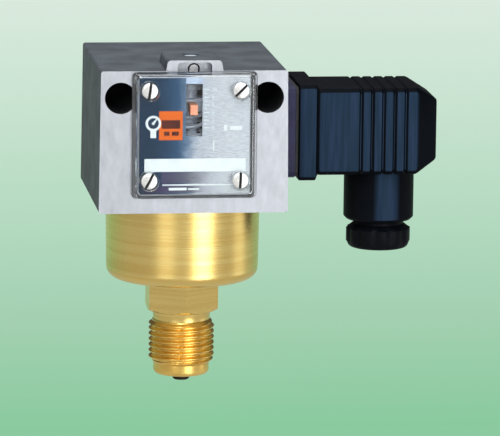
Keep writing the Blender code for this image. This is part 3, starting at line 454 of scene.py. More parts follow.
def make_looks():
    ramp = [(0.0, (0.004, 0.020, 0.045)), (0.16, (0.005, 0.023, 0.052)), (0.34, (0.017, 0.052, 0.105)),
            (0.43, (0.09, 0.14, 0.21)), (0.52, (0.33, 0.36, 0.40)), (0.75, (0.39, 0.405, 0.43)),
            (1.0, (0.40, 0.425, 0.45))]
    foot = [(0.0, (0.02, 0.03, 0.05)), (0.2, (0.035, 0.030, 0.075)), (0.45, (0.085, 0.088, 0.12)),
            (0.66, (0.34, 0.36, 0.39)), (1.0, (0.43, 0.455, 0.46))]
    return {
        "casting": surface("grey_casting", (0.128, 0.147, 0.165), (0.092, 0.103, 0.117), (0.48, 0.66), 0.0,
                           tone=(0.10, 0.10, 0.10), grain=(2.2, 2.2, 2.2), bump=0.22, depth=0.06,
                           Specular_IOR_Level=0.03),
        "machined": surface("machined_face", (0.49, 0.515, 0.555), (0.40, 0.42, 0.455), (0.32, 0.50), 0.75,
                            tone=(0.5, 0.5, 0.22), grain=(2.4, 2.4, 1.0), bump=0.10, depth=0.04,
                            spread=(0.25, 0.70)),
        # Painted shade: near-black walls for deep holes and screw slots.
        "bore": surface("bore_shadow", (0.010, 0.011, 0.013), (0.004, 0.004, 0.005), (0.6, 0.8), 0.0),
        "brass": surface("turned_brass", (0.86, 0.66, 0.24), (0.78, 0.56, 0.18), (0.24, 0.36), 1.0,
                         tone=(0.02, 0.02, 0.9), grain=(0.06, 0.06, 9), bump=0.07, depth=0.03),
        "thread_brass": surface("thread_brass", (0.93, 0.66, 0.20), (0.82, 0.53, 0.13), (0.26, 0.40), 1.0,
                                tone=(0.1, 0.1, 0.4), grain=(0.3, 0.3, 7), bump=0.06, depth=0.03),
        # Painted shade for the spigot under the pilot.
        "spigot_shade": surface("spigot_painted_shade", (0.05, 0.035, 0.02), (0.02, 0.014, 0.01), (0.5, 0.7), 0.8),
        "bronze": surface("bronze", (0.62, 0.38, 0.17), (0.48, 0.28, 0.12), (0.28, 0.42), 1.0,
                          tone=(0.1, 0.1, 0.6)),
        "steel": surface("zinc_steel", (0.66, 0.66, 0.64), (0.48, 0.49, 0.50), (0.28, 0.46), 1.0,
                         tone=(0.5, 0.5, 0.5), grain=(4, 4, 4), bump=0.08, depth=0.03),
        "nickel": surface("bright_nickel", (0.94, 0.93, 0.90), (0.82, 0.82, 0.80), (0.22, 0.38), 0.9,
                          tone=(1.2, 1.2, 1.2), grain=(6, 6, 6), bump=0.05, depth=0.02),
        "satin": surface("satin_zinc", (0.80, 0.86, 0.95), (0.72, 0.78, 0.88), (0.40, 0.55), 0.25,
                         tone=(0.6, 0.6, 0.6), grain=(4, 4, 4), bump=0.06, depth=0.02),
        # Black mouldings with a painted blue sheen on their front faces.
        "plastic": painted_sheen_plastic(),
        "nut_plastic": surface("nut_plastic", *BLACK_TONES, (0.40, 0.54), grain=(3.5, 3.5, 3.5), bump=0.14,
                               depth=0.03, Specular_IOR_Level=0.06),
        "pointer": surface("pale_orange", (0.62, 0.26, 0.15), (0.55, 0.21, 0.11), (0.35, 0.45)),
        "slot_head": surface("slot_head_patch", (0.30, 0.36, 0.46), (0.24, 0.30, 0.40), (0.4, 0.5)),
        "inlet": surface("violet_black_plastic", (0.036, 0.034, 0.085), (0.022, 0.022, 0.055), (0.35, 0.5),
                         tone=(0.1, 0.1, 0.1), grain=(3, 3, 3), bump=0.12, depth=0.03,
                         Specular_IOR_Level=0.15),
        "black": surface("black_phenolic", (0.020, 0.020, 0.022), (0.012, 0.012, 0.013), (0.35, 0.5),
                         tone=(0.6, 0.6, 0.6), grain=(4, 4, 4), bump=0.1),
        "rubber": surface("black_rubber", (0.020, 0.020, 0.021), (0.012, 0.012, 0.012), (0.6, 0.8),
                          tone=(0.5, 0.5, 0.5), grain=(5, 5, 5), bump=0.2),
        "orange": surface("orange_plastic", (0.90, 0.20, 0.02), (0.82, 0.16, 0.015), (0.35, 0.45),
                          tone=(0.3, 0.3, 0.3), grain=(4, 4, 4), bump=0.05),
        "red_wire": surface("red_insulation", (0.42, 0.03, 0.02), (0.33, 0.02, 0.015), (0.35, 0.5)),
        "green_wire": surface("green_insulation", (0.06, 0.30, 0.05), (0.42, 0.40, 0.03), (0.35, 0.5),
                              tone=(0.4, 0.4, 0.4), spread=(0.49, 0.51)),
        "white_ink": surface("white_ink", (0.53, 0.57, 0.56), (0.49, 0.53, 0.53), (0.4, 0.55),
                             tone=(0.3, 0.3, 0.3), bump=0.03, Specular_IOR_Level=0.15),
        "orange_ink": surface("orange_ink", (0.52, 0.092, 0.0035), (0.48, 0.082, 0.003), (0.4, 0.5),
                              tone=(0.3, 0.3, 0.3), bump=0.03, Specular_IOR_Level=0.1),
        "brown_ink": surface("brown_ink", (0.07, 0.006, 0.001), (0.04, 0.004, 0.001), (0.4, 0.5), bump=0.03,
                             Specular_IOR_Level=0.1),
        "plate": left_to_right_colour("plate_colour_run", ramp, (0.22, 0.34), 0.35),
        "plate_foot": left_to_right_colour("band_colour_run", foot, (0.25, 0.36), 0.35),
        "clear": clear_acrylic(),
    }


# ---------------------------------------------------------------- pressure connection and cup


def hexagon(across_flats, limit):
    """Radius of a hexagon with a corner towards -Y, turned down to a limit that depends on the height."""
    def radius(angle, z):
        from_flat = (angle + math.pi / 6) % (math.pi / 3) - math.pi / 6
        return min(across_flats / 2 / math.cos(from_flat), limit(z))
    return radius


def pipe_thread(angle, z):
    """Radius of the rounded right-hand pipe thread, which fades out at both ends."""
    phase = (z / THREAD_PITCH - angle / (2 * math.pi)) % 1.0
    rise = min(1.0, max(0.0, 2.7 * min(phase, 1 - phase) - 0.17))
    rise = rise * rise * (3 - 2 * rise)
    fade = min(1.0, (z - PILOT_TOP) / 0.9, (THREAD_TOP - z) / 1.3)
    return THREAD_ROOT + (THREAD_RADIUS - THREAD_ROOT) * rise * max(0.0, fade)


def make_connection(looks):
    rows = round((THREAD_TOP - PILOT_TOP) / THREAD_PITCH * 14)
    step = (THREAD_TOP - PILOT_TOP) / rows
    corner = HEX_ACROSS_FLATS / 2 / math.cos(math.pi / 6)
    chamfer = 1.15
    slope = math.tan(math.radians(30))

    def limit(z):
        below = min(z - HEX_BOTTOM, chamfer) / slope
        return corner - chamfer / slope + below + 0.02

    profile = [(PIPE_LOW.z, SPIGOT_RADIUS - 0.4), (PIPE_LOW.z + 0.4, SPIGOT_RADIUS), (-0.4, SPIGOT_RADIUS),
               (0, SPIGOT_RADIUS + 0.4), (0, PILOT_RADIUS - 1.0), (0.25, PILOT_RADIUS - 0.45),
               (0.9, PILOT_RADIUS - 0.05), (1.1, PILOT_RADIUS), (PILOT_TOP - 0.5, PILOT_RADIUS)]
    profile += [(PILOT_TOP + step * (k + 0.5), pipe_thread) for k in range(rows)]
    profile += [(THREAD_TOP + 0.2, RELIEF_RADIUS), (HEX_BOTTOM - 0.5, RELIEF_RADIUS),
                (HEX_BOTTOM - 0.1, RELIEF_RADIUS + 0.25), (HEX_BOTTOM, RELIEF_RADIUS + 0.7)]
    profile += [(HEX_BOTTOM + chamfer * k / 10, hexagon(HEX_ACROSS_FLATS, limit)) for k in range(11)]
    profile += [(HEX_TOP, hexagon(HEX_ACROSS_FLATS, limit)), (HEX_TOP, COLLAR_RADIUS),
                (PIPE_HIGH.z, COLLAR_RADIUS)]
    pipe = solid("connection_fine", stack(profile, 144, PORT_RADIUS), looks["thread_brass"])
    pipe.data.materials.append(looks["brass"])
    pipe.data.materials.append(looks["spigot_shade"])
    for face in pipe.data.polygons:
        height = face.center.z / MM
        if height > THREAD_TOP:
            face.material_index = 1
        # The spigot under the pilot is painted near black: painted shade for its shaded front.
        if height < -0.05:
            face.material_index = 2
    stand_in(pipe, "brass", "process_connection")


def make_cup(looks):
    inner, foot_inner, corner_inner = CUP_RADIUS - CUP_WALL, CUP_FOOT_RADIUS - CUP_WALL, CUP_CORNER - CUP_WALL
    hole, bottom, top = COLLAR_RADIUS + 0.15, CUP_LOW.z, CUP_HIGH.z
    bend = (CUP_FOOT_RADIUS - CUP_CORNER, bottom + CUP_CORNER)
    outline = [(inner, top), (CUP_RADIUS - 0.2, top), (CUP_RADIUS, top - 0.2), (CUP_RADIUS, top - 0.5),
               (CUP_FOOT_RADIUS + 0.05, bend[1] + 1.2), (CUP_FOOT_RADIUS, bend[1] + 0.4)]
    outline += arc(bend, CUP_CORNER, 0, -90, 16)
    outline += [(hole, bottom), (hole, bottom + CUP_WALL)]
    outline += arc((foot_inner - corner_inner, bottom + CUP_CORNER), corner_inner, -90, 0, 8)
    cup = solid("cup_fine", loft([ring(r, z, 160) for r, z in outline], closed=True), looks["brass"])
    shade(cup.data, 50)
    stand_in(cup, "brass", "sensor_cup")


# ---------------------------------------------------------------- housing


def housing_shell(look):
    """The drafted casting, its rear and long edges rounded and its front edges left sharp."""
    outlines = []
    for y, draft in ((FRONT, 0.0), (REAR, REAR_DRAFT)):
        bottom, top, sink = HALF_WIDTH_BOTTOM - draft, HALF_WIDTH_TOP - draft, draft * 0.4
        outlines.append([(-bottom, y, HOUSING_LOW.z + sink), (bottom, y, HOUSING_LOW.z + sink),
                         (top, y, TOP - sink), (-top, y, TOP - sink)])
    bm = loft(outlines)
    bmesh.ops.recalc_face_normals(bm, faces=bm.faces)
    behind = [edge for edge in bm.edges if max(vert.co.y for vert in edge.verts) > 0]
    bmesh.ops.bevel(bm, geom=behind, offset=EDGE, segments=6, profile=0.5, affect="EDGES")
    return solid("housing_fine", bm, look)


def add_lug(housing, look):
    top = HOUSING_HIGH.z
    outline = [(LUG_HALF + 0.4, TOP - 3), (LUG_HALF + 0.4, TOP)]
    outline += arc((LUG_HALF - LUG_CORNER, top - LUG_CORNER), LUG_CORNER, 0, 90, 8)
    outline += [(-x, z) for x, z in reversed(outline)]
    combine(housing, solid("lug", prism(outline, -LUG_REAR, -FRONT), look, facing=TO_FRONT), "UNION")
    pocket = prism(rounded_rectangle(POCKET_WIDTH, POCKET_TOP - POCKET_BOTTOM, 1.2), -POCKET_FLOOR, 1 - FRONT)
    combine(housing, solid("pocket", pocket, look, (0, 0, (POCKET_TOP + POCKET_BOTTOM) / 2), TO_FRONT))
    drill(housing, SPINDLE_RADIUS + 0.35, (0, SPINDLE_Y, CEILING - 1), (0, SPINDLE_Y, top + 1))
    drill(housing, LOCK_RADIUS + 0.4, (0, POCKET_FLOOR - 1, LOCK_Z), (0, SPINDLE_Y, LOCK_Z), 32)
    drill(housing, 0.7, (-5.6, -25.4, top - 5), (-5.6, -25.4, top + 1), 24)


def hollow(housing):
    """The switch room, wide at the plug's height and narrow between the wall bolt holes, and its window."""
    half, narrow, boss_x, boss_z = CAVITY_HALF, CAVITY_HALF_TOP, COVER_SCREW_X - 3.5, COVER_SCREW_Z - 3.5
    carve(housing, (-half, CAVITY_FRONT, FLOOR), (half, CAVITY_REAR, SHOULDER))
    carve(housing, (-narrow, CAVITY_FRONT, SHOULDER - 1), (narrow, CAVITY_REAR, CEILING))
    carve(housing, (-narrow, FRONT - 1, WINDOW_Z - boss_z), (narrow, CAVITY_FRONT + 1, WINDOW_Z + boss_z))
    carve(housing, (-boss_x, FRONT - 1, 2 * WINDOW_Z - CEILING), (boss_x, CAVITY_FRONT + 1, CEILING))


def paint_housing(housing, looks):
    """The milled front face is bare metal, and the deep bolt holes are painted black as shade."""
    housing.data.materials.append(looks["machined"])
    housing.data.materials.append(looks["bore"])
    for face in housing.data.polygons:
        centre = face.center / MM
        in_pocket = centre.z > TOP - 2 and centre.y < POCKET_FLOOR + 0.1
        if face.normal.y < -0.99 and (centre.y < FRONT + 0.05 or in_pocket):
            face.material_index = 1
        # The walls of the deep bolt holes take the painted shade.
        from_hole = math.hypot(abs(centre.x) - WALL_HOLE_X, centre.z - WALL_HOLE_Z)
        if from_hole < WALL_HOLE_RADIUS + 0.1 and centre.y > FRONT + 0.5 and abs(face.normal.y) < 0.5:
            face.material_index = 2


def make_housing(looks):
    housing = housing_shell(looks["casting"])
    add_lug(housing, looks["casting"])
    hollow(housing)
    for x in (-WALL_HOLE_X, WALL_HOLE_X):
        drill(housing, WALL_HOLE_RADIUS, (x, FRONT - 1, WALL_HOLE_Z), (x, WALL_SEAT, WALL_HOLE_Z))
        drill(housing, WALL_BORE_RADIUS, (x, WALL_SEAT - 1, WALL_HOLE_Z), (x, REAR + 1, WALL_HOLE_Z))
    for x, z in corners(COVER_SCREW_X, COVER_SCREW_Z):
        drill(housing, 1.55, (x, FRONT - 1, WINDOW_Z + z), (x, CAVITY_FRONT + 1, WINDOW_Z + z), 32)
    drill(housing, 4.0, (0, 0, HOUSING_LOW.z - 1), (0, 0, FLOOR + 1))
    seat_low, seat_high = span("inlet_gasket")
    carve(housing, (29.0, seat_low.y - 0.4, seat_low.z - 0.4), (32, seat_high.y + 0.4, seat_high.z + 0.4))
    carve(housing, (CAVITY_HALF - 1, -10.6, PLUG_Z - 7), (30, 10.6, PLUG_Z + 6.4))
    paint_housing(housing, looks)
    soften(housing, 0.22)
    stand_in(housing, "casting", "housing")


# ---------------------------------------------------------------- window


def make_cover(looks):
    clear, centre = looks["clear"], (0, 0, WINDOW_Z)
    back, front = COVER_HIGH.y, COVER_LOW.y
    foot_size = (COVER_HIGH.x - COVER_LOW.x, COVER_HIGH.z - COVER_LOW.z)
    foot, face = rounded_rectangle(*foot_size, 1.5), rounded_rectangle(*COVER_FACE, 1.5)
    rings = [level(foot, -back), level(face, -front - COVER_EDGE)]
    for x, z in arc((0, 0), COVER_EDGE, 15, 90, 5):
        shrink = 2 * (COVER_EDGE - x)
        smaller = rounded_rectangle(COVER_FACE[0] - shrink, COVER_FACE[1] - shrink, 1.4)
        rings.append(level(smaller, z - COVER_EDGE - front))
    cover = solid("cover_fine", loft(rings), clear, centre, TO_FRONT)
    inside = prism(rounded_rectangle(*COVER_HOLLOW, 1.0), -back - 1, -COVER_INSIDE)
    combine(cover, solid("inside", inside, clear, centre, TO_FRONT))
    for x, z in corners(COVER_SCREW_X, COVER_SCREW_Z):
        post = stack([(-back, SCREW_POST_RADIUS), (0.5 - COVER_INSIDE, SCREW_POST_RADIUS)], 48)
        combine(cover, solid("post", post, clear, (x, 0, WINDOW_Z + z), TO_FRONT), "UNION")
    for x, z in corners(COVER_SCREW_X, COVER_SCREW_Z):
        drill(cover, 1.65, (x, front - 1, WINDOW_Z + z), (x, back + 1, WINDOW_Z + z), 32)
        drill(cover, 2.95, (x, front - 1, WINDOW_Z + z), (x, COVER_SEAT, WINDOW_Z + z), 48)
    soften(cover, 0.1)
    stand_in(cover, "clear_plastic", "window_cover")


def slotted_screw(name, radius, height, shank, look, shadow, at, facing):
    """A cheese-head screw with a slightly domed top, rounded rim and a slot painted dark as shade, placed
    under its head.
    """
    shank_radius, length = shank
    edge, dome = 0.25, 0.15
    profile = [(-length, shank_radius - 0.3), (-length + 0.4, shank_radius), (0, shank_radius),
               (0, radius - 0.1), (0.1, radius)]
    profile += [(z, r) for r, z in arc((radius - edge, height - edge), edge, 0, 80, 4)]
    profile += [(height + dome * 0.6, radius * 0.6), (height + dome * 0.9, radius * 0.3)]
    made = solid(name, stack(profile, 48), look, at, facing)
    slot = box((-radius - 1, -SCREW_SLOT_HALF, height - SCREW_SLOT_DEPTH),
               (radius + 1, SCREW_SLOT_HALF, height + 1))
    combine(made, solid("slot", slot, look, at, facing))
    made.data.materials.append(shadow)
    back = facing.inverted()
    # Faces inside the slot take the painted shade.
    for face in made.data.polygons:
        place = back @ (face.center / MM - Vector(at))
        across_slot = abs(place.y) < SCREW_SLOT_HALF + 0.01 and abs(place.x) < radius - 0.05
        if across_slot and height - 1 < place.z < height - 0.1:
            face.material_index = 1
    return soften(made, 0.06)


def printed(name, look, patches, layer=1):
    """Flat printing on the plate, from (left, right, bottom, top) patches, over the layers below its own."""
    bm = bmesh.new()
    for left, right, bottom, top in patches:
        size = Matrix.Diagonal((right - left, layer * INK, top - bottom, 1))
        middle = Vector(((left + right) / 2, PLATE_LOW.y - layer * INK / 2, (bottom + top) / 2))
        bmesh.ops.create_cube(bm, size=1.0, matrix=Matrix.Translation(middle) @ size)
    obj = solid(name, bm, look)
    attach(obj, "housing_assembly")
    return obj


def gauge_mark(looks):
    """A plain white dial with a needle and a foot, where the plate carries its maker's sign."""
    radius, ink, at = 2.45, looks["white_ink"], (-13.0, PLATE_LOW.y - 0.1 + INK, 85.9)
    dial = stack([(0, radius), (INK, radius)], 48, radius - 0.75)
    mark = solid("dial_mark", dial, ink, at, TO_FRONT)
    needle = prism([(-0.45, -0.4), (0.45, -0.4), (0.12, 2.0), (-0.12, 2.0)], 0, INK)
    lean = TO_FRONT @ Quaternion((0, 0, 1), math.radians(-38))
    combine(mark, solid("needle", needle, ink, at, lean), "UNION")
    foot = box((-0.9, -4.6, 0), (0.9, -radius + 0.3, INK))
    combine(mark, solid("foot", foot, ink, at, TO_FRONT), "UNION")
    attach(mark, "housing_assembly")


def numerals(looks):
    """The setpoint scale's figures beside the slot."""
    for k in range(6):
        text = bpy.data.curves.new("figure", "FONT")
        text.body = str(2 * k)
        text.size = 1.5 * MM
        text.extrude = 0.02 * MM
        text.align_y = "CENTER"
        flat = bpy.data.objects.new("figure", text)
        bpy.context.scene.collection.objects.link(flat)
        bpy.context.view_layer.update()
        mesh = bpy.data.meshes.new_from_object(flat.evaluated_get(bpy.context.evaluated_depsgraph_get()))
        bpy.data.objects.remove(flat)
        at = Vector((5.3, PLATE_LOW.y - 2 * INK, 84.4 + 2.4 * k)) * MM
        mesh.transform(Matrix.Translation(at) @ TO_FRONT.to_matrix().to_4x4())
        mesh.materials.clear()
        mesh.materials.append(looks["white_ink"])
        figure = bpy.data.objects.new(f"scale_figure_{k}", mesh)
        bpy.context.scene.collection.objects.link(figure)
        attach(figure, "housing_assembly")


def make_plate(looks):
    size = (PLATE_HIGH.x - PLATE_LOW.x, PLATE_HIGH.z - PLATE_LOW.z)
    sheet = prism(rounded_rectangle(*size, 1.0), -PLATE_HIGH.y, -PLATE_LOW.y)
    plate = solid("plate_fine", sheet, looks["plate"], (0, 0, WINDOW_Z), TO_FRONT)
    carve(plate, (SLOT_LEFT, PLATE_LOW.y - 1, SLOT_BOTTOM), (SLOT_RIGHT, FRONT + 1, CEILING))
    for x, z in corners(COVER_SCREW_X, COVER_SCREW_Z):
        drill(plate, 1.8, (x, PLATE_LOW.y - 1, WINDOW_Z + z), (x, FRONT, WINDOW_Z + z), 32)
    stand_in(plate, "printed_plate", "scale_plate")
    printed("lower_band", looks["plate_foot"], [(-10.4, 10.6, 66.9, 70.6), (-16.6, 16.6, 63.9, 66.2)])
    printed("orange_block", looks["orange_ink"], [(-11.2, -3.8, 80.6, 89.7)])
    lines = [(-10.4, -4.6, 84.2, 86.9), (-9.6, -7.9, 82.0, 83.3), (-7.2, -5.0, 82.0, 83.3)]
    printed("block_bars", looks["brown_ink"], lines, 2)
    ticks = [(SLOT_RIGHT + 0.5, SLOT_RIGHT + (2.2 if k % 2 == 0 else 1.4), 84.3 + 1.2 * k, 84.55 + 1.2 * k)
             for k in range(11)]
    white = [(-15.7, 16.1, 70.6, 74.7), (-10.0, 13.0, 66.2, 66.6), (-8.0, -2.4, 64.7, 65.5),
             (-1.9, 1.6, 64.8, 65.3), (11.1, 14.9, 83.7, 84.9), (9.2, 10.2, 83.5, 85.3),
             (5.8, 6.2, 77.2, 80.4)]
    printed("white_lines", looks["white_ink"], white + ticks, 2)
    # A flat bluish-grey patch above the slot, from the cavity's ceiling to the top of the plate.
    printed("slot_head", looks["slot_head"], [(SLOT_LEFT, SLOT_RIGHT, CEILING + 0.1, 100.2)])
    gauge_mark(looks)
    numerals(looks)


def make_window(looks):
    make_cover(looks)
    make_plate(looks)
    for k, (x, z) in enumerate(corners(COVER_SCREW_X, COVER_SCREW_Z)):
        facing = TO_FRONT @ Quaternion((0, 0, 1), math.radians(90 + SLOT_ANGLES[k]))
        made = slotted_screw(f"cover_screw_{k + 1}_fine", 2.55, 1.25, (1.35, 7.4), looks["nickel"],
                             looks["bore"], (x, COVER_SEAT - 0.15, WINDOW_Z + z), facing)
        stand_in(made, "bright_screw", f"cover_screw_{k + 1}")


# ---------------------------------------------------------------- setpoint drive


def spindle_thread(angle, z):
    """Radius of the spindle's fine thread, one turn a millimetre."""
    phase = (z - angle / (2 * math.pi)) % 1.0
    return SPINDLE_RADIUS - 0.42 + 0.42 * min(1.0, 2.6 * min(phase, 1 - phase))


def make_spindle(looks):
    low, high = span("setting_spindle")
    at = (0, SPINDLE_Y, 0)
    threaded = 16.0
    rows = round(threaded * 8)
    profile = [(low.z, SPINDLE_RADIUS - 0.6)]
    profile += [(low.z + 0.4 + threaded * k / rows, spindle_thread) for k in range(rows + 1)]
    profile += [(COLLAR_BOTTOM - 0.4, SPINDLE_RADIUS - 0.2), (COLLAR_BOTTOM, SPINDLE_RADIUS - 0.2),
                (COLLAR_BOTTOM, SPINDLE_COLLAR - 0.2), (COLLAR_BOTTOM + 0.2, SPINDLE_COLLAR),
                (SEAL_BOTTOM - 0.4, SPINDLE_COLLAR), (SEAL_BOTTOM - 0.2, SPINDLE_COLLAR - 0.2),
                (SEAL_BOTTOM - 0.2, SPINDLE_RADIUS), (high.z - 0.3, SPINDLE_RADIUS),
                (high.z, SPINDLE_RADIUS - 0.3)]
    spindle = solid("spindle_fine", stack(profile, 48), looks["satin"], at)
    carve(spindle, (-5, SPINDLE_Y - 0.4, high.z - 1), (5, SPINDLE_Y + 0.4, high.z + 1))
    stand_in(spindle, "steel", "setting_spindle")


def make_nut(looks):
    low, high = span("setting_nut")
    radius, bore = high.x, SPINDLE_RADIUS + 0.1
    groove = radius - 0.6
    profile = [(low.z, radius - 0.4), (low.z + 0.4, radius), (high.z - 1.3, radius), (high.z - 1.3, groove),
               (high.z - 1.0, groove), (high.z - 1.0, radius), (high.z - 0.3, radius),
               (high.z, radius - 0.3)]
    nut = solid("setting_nut_fine", stack(profile, 64, bore), looks["satin"], (0, SPINDLE_Y, 0))
    stand_in(nut, "steel", "setting_nut")
    low, high = span("setpoint_pointer")
    pointer = solid("pointer_fine", box(low, high), looks["pointer"])
    soften(pointer, 0.25, 3)
    stand_in(pointer, "orange_plastic", "setpoint_pointer")


def make_spring(looks):
    low, high = span("setting_spring")
    bottom, top = low.z + SPRING_WIRE, high.z - SPRING_WIRE
    steps = 32
    coil = []
    for k in range(SPRING_TURNS * steps + 1):
        share = k / (SPRING_TURNS * steps)
        angle = 2 * math.pi * k / steps
        height = bottom + (top - bottom) * share
        coil.append((SPRING_RADIUS * math.cos(angle), SPRING_RADIUS * math.sin(angle), height))
    spring = solid("spring_fine", tube(coil, SPRING_WIRE, 14), looks["satin"], (0, SPINDLE_Y, 0))
    stand_in(spring, "steel", "setting_spring")
    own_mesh(spring)


def make_lock(looks):
    low, high = span("lock_screw")
    profile = [(-high.y, LOCK_RADIUS - 0.3), (0.3 - high.y, LOCK_RADIUS), (-low.y - 0.15, LOCK_RADIUS),
               (-low.y, LOCK_RADIUS - 0.15)]
    at = (0, 0, LOCK_Z)
    lock = solid("lock_screw_fine", stack(profile, 32), looks["steel"], at, TO_FRONT)
    lean = TO_FRONT @ Quaternion((0, 0, 1), math.radians(30))
    combine(lock, solid("slot", box((-3, -0.3, -low.y - 0.9), (3, 0.3, 1 - low.y)), looks["steel"], at, lean))
    stand_in(lock, "steel", "lock_screw")


# ---------------------------------------------------------------- plug and gland


def grip_depth(x):
    """How deep the finger grooves round the plug's body are at x."""
    depth = 0.0
    for k in range(GRIP_COUNT):
        off = abs(x - GRIP_START - GRIP_PITCH * k)
        if off < GRIP_HALF:
            depth = GRIP_DEPTH * (0.5 + 0.5 * math.cos(math.pi * off / GRIP_HALF))
    return depth


def shell_rings():
    """Outlines along the plug: rim, chamfer, grooved body and the pyramid end."""
    start = SHELL_LOW.x
    rings = [(start, RIM_WIDTH - 0.6, 1.4), (start + 0.15, RIM_WIDTH - 0.15, 1.6),
             (start + 0.4, RIM_WIDTH, 1.7), (RIM_END - 0.3, RIM_WIDTH, 1.7), (RIM_END, RIM_WIDTH - 0.25, 1.7),
             (BODY_X - 0.3, BODY_WIDTH + 0.2, 1.8), (BODY_X, BODY_WIDTH - 0.25, 1.8),
             (BODY_X + 0.3, BODY_WIDTH - 0.05, 1.8), (BODY_X + 0.8, BODY_WIDTH, 1.8)]
    first, last = GRIP_START - 1.2, BODY_END - 0.5
    steps = round((last - first) / 0.16)
    for k in range(steps + 1):
        x = first + (last - first) * k / steps
        rings.append((x, BODY_WIDTH - 2 * grip_depth(x), 1.8))
    end = SHELL_HIGH.x
    slope = (BODY_WIDTH - END_WIDTH) / (end - BODY_END)
    rings += [(BODY_END - 0.15, BODY_WIDTH - 0.08, 1.8),
              (BODY_END + 0.2, BODY_WIDTH - 0.2 * slope - 0.15, 1.8),
              (BODY_END + 0.6, BODY_WIDTH - 0.6 * slope, 1.8), (end - 0.7, END_WIDTH + 0.7 * slope, 1.3),
              (end - 0.25, END_WIDTH + 0.1, 1.2), (end, END_WIDTH - 0.5, 1.1)]
    return rings


def make_shell(looks):
    centre, look, room = (0, 0, PLUG_Z), looks["plastic"], PLUG_CAVITY / 2
    rings = [level(rounded_rectangle(width, width, corner), x) for x, width, corner in shell_rings()]
    shell = solid("plug_fine", loft(rings), look, centre, TO_PLUG)
    at = (OUTLET_X, 0, 0)
    profile = [(OUTLET_END, OUTLET_RADIUS - 0.9), (OUTLET_END + 0.12, OUTLET_RADIUS - 0.75),
               (OUTLET_END + 0.75, OUTLET_RADIUS - 0.12), (OUTLET_END + 0.95, OUTLET_RADIUS),
               (NECK_TOP, OUTLET_RADIUS)]
    combine(shell, solid("neck", stack(profile, 96), look, at), "UNION")
    carve(shell, (SHELL_LOW.x - 1, -room, PLUG_Z - room), (PLUG_CAVITY_END, room, PLUG_Z + room))
    drill(shell, OUTLET_BORE, (OUTLET_X, 0, OUTLET_END - 1), (OUTLET_X, 0, OUTLET_LEDGE))
    drill(shell, OUTLET_THROAT, (OUTLET_X, 0, OUTLET_LEDGE - 1), (OUTLET_X, 0, PLUG_Z - room + 1))
    behind, beyond = (PLUG_CAVITY_END - 1, 0, PLUG_Z), (SHELL_HIGH.x + 1, 0, PLUG_Z)
    drill(shell, PLUG_SCREW_HOLE, behind, beyond, 32)
    drill(shell, PLUG_SCREW_RECESS, (SHELL_HIGH.x - RECESS_DEPTH, 0, PLUG_Z), beyond)
    shade(shell.data, 25)
    stand_in(shell, "black_plastic", "plug_shell")


def make_gland(looks):
    """The ribbed gland nut with a rounded foot, and the steel washer and rubber seal above it."""
    bottom, top, radius = NUT_LOW.z, NUT_HIGH.z, NUT_HIGH.x - OUTLET_X
    foot = 1.5

    def ribs(angle, _z):
        return radius - 0.55 * (0.5 - 0.5 * math.cos(NUT_FLUTES * angle)) ** 2

    profile = [(bottom, NUT_BORE + 0.5)]
    profile += [(z, r) for r, z in arc((radius - 0.5 - foot, bottom + foot), foot, -90, -15, 6)]
    profile += [(bottom + foot + 0.6, ribs), (NUT_HEAD_TOP - 1.1, ribs), (NUT_HEAD_TOP - 0.7, radius - 0.75),
                (NUT_HEAD_TOP + 0.2, NUT_SHANK_RADIUS + 0.35), (NUT_HEAD_TOP + 0.5, NUT_SHANK_RADIUS)]
    rows = round((top - NUT_HEAD_TOP - 2) / 0.15)

    def shank(angle, z):
        phase = (z / 1.5 - angle / (2 * math.pi)) % 1.0
        return NUT_SHANK_RADIUS - 0.35 * min(1.0, 2.5 * min(phase, 1 - phase))

    profile += [(NUT_HEAD_TOP + 1.6 + 0.15 * k, shank) for k in range(rows)]
    profile += [(top, NUT_SHANK_RADIUS - 0.4)]
    nut = solid("gland_nut_fine", stack(profile, 144, NUT_BORE), looks["nut_plastic"], (OUTLET_X, 0, 0))
    stand_in(nut, "black_plastic", "gland_nut")
    low, high = span("gland_washer")
    rim = high.x - OUTLET_X
    ring_profile = [(low.z, rim - 0.15), (low.z + 0.15, rim), (high.z, rim)]
    washer = solid("gland_washer_fine", stack(ring_profile, 64, 4.6), looks["steel"], (OUTLET_X, 0, 0))
    stand_in(washer, "steel", "gland_washer")
    low, high = span("cable_seal")
    rim = high.x - OUTLET_X
    seal_profile = [(low.z, rim - 0.5), (low.z + 0.5, rim), (high.z, rim)]
    seal = solid("cable_seal_fine", stack(seal_profile, 64, 3.5), looks["rubber"], (OUTLET_X, 0, 0))
    stand_in(seal, "rubber", "cable_seal")


def make_plug(looks):
    make_shell(looks)
    make_gland(looks)
    low, high = span("plug_screw")
    head = SHELL_HIGH.x - 2.65
    made = slotted_screw("plug_screw_fine", 2.9, 1.75, (1.4, head - low.x), looks["steel"],
                         looks["bore"], (head, 0, PLUG_Z), TO_PLUG)
    stand_in(made, "bright_screw", "plug_screw")


# ---------------------------------------------------------------- CAD pieces that keep their shape


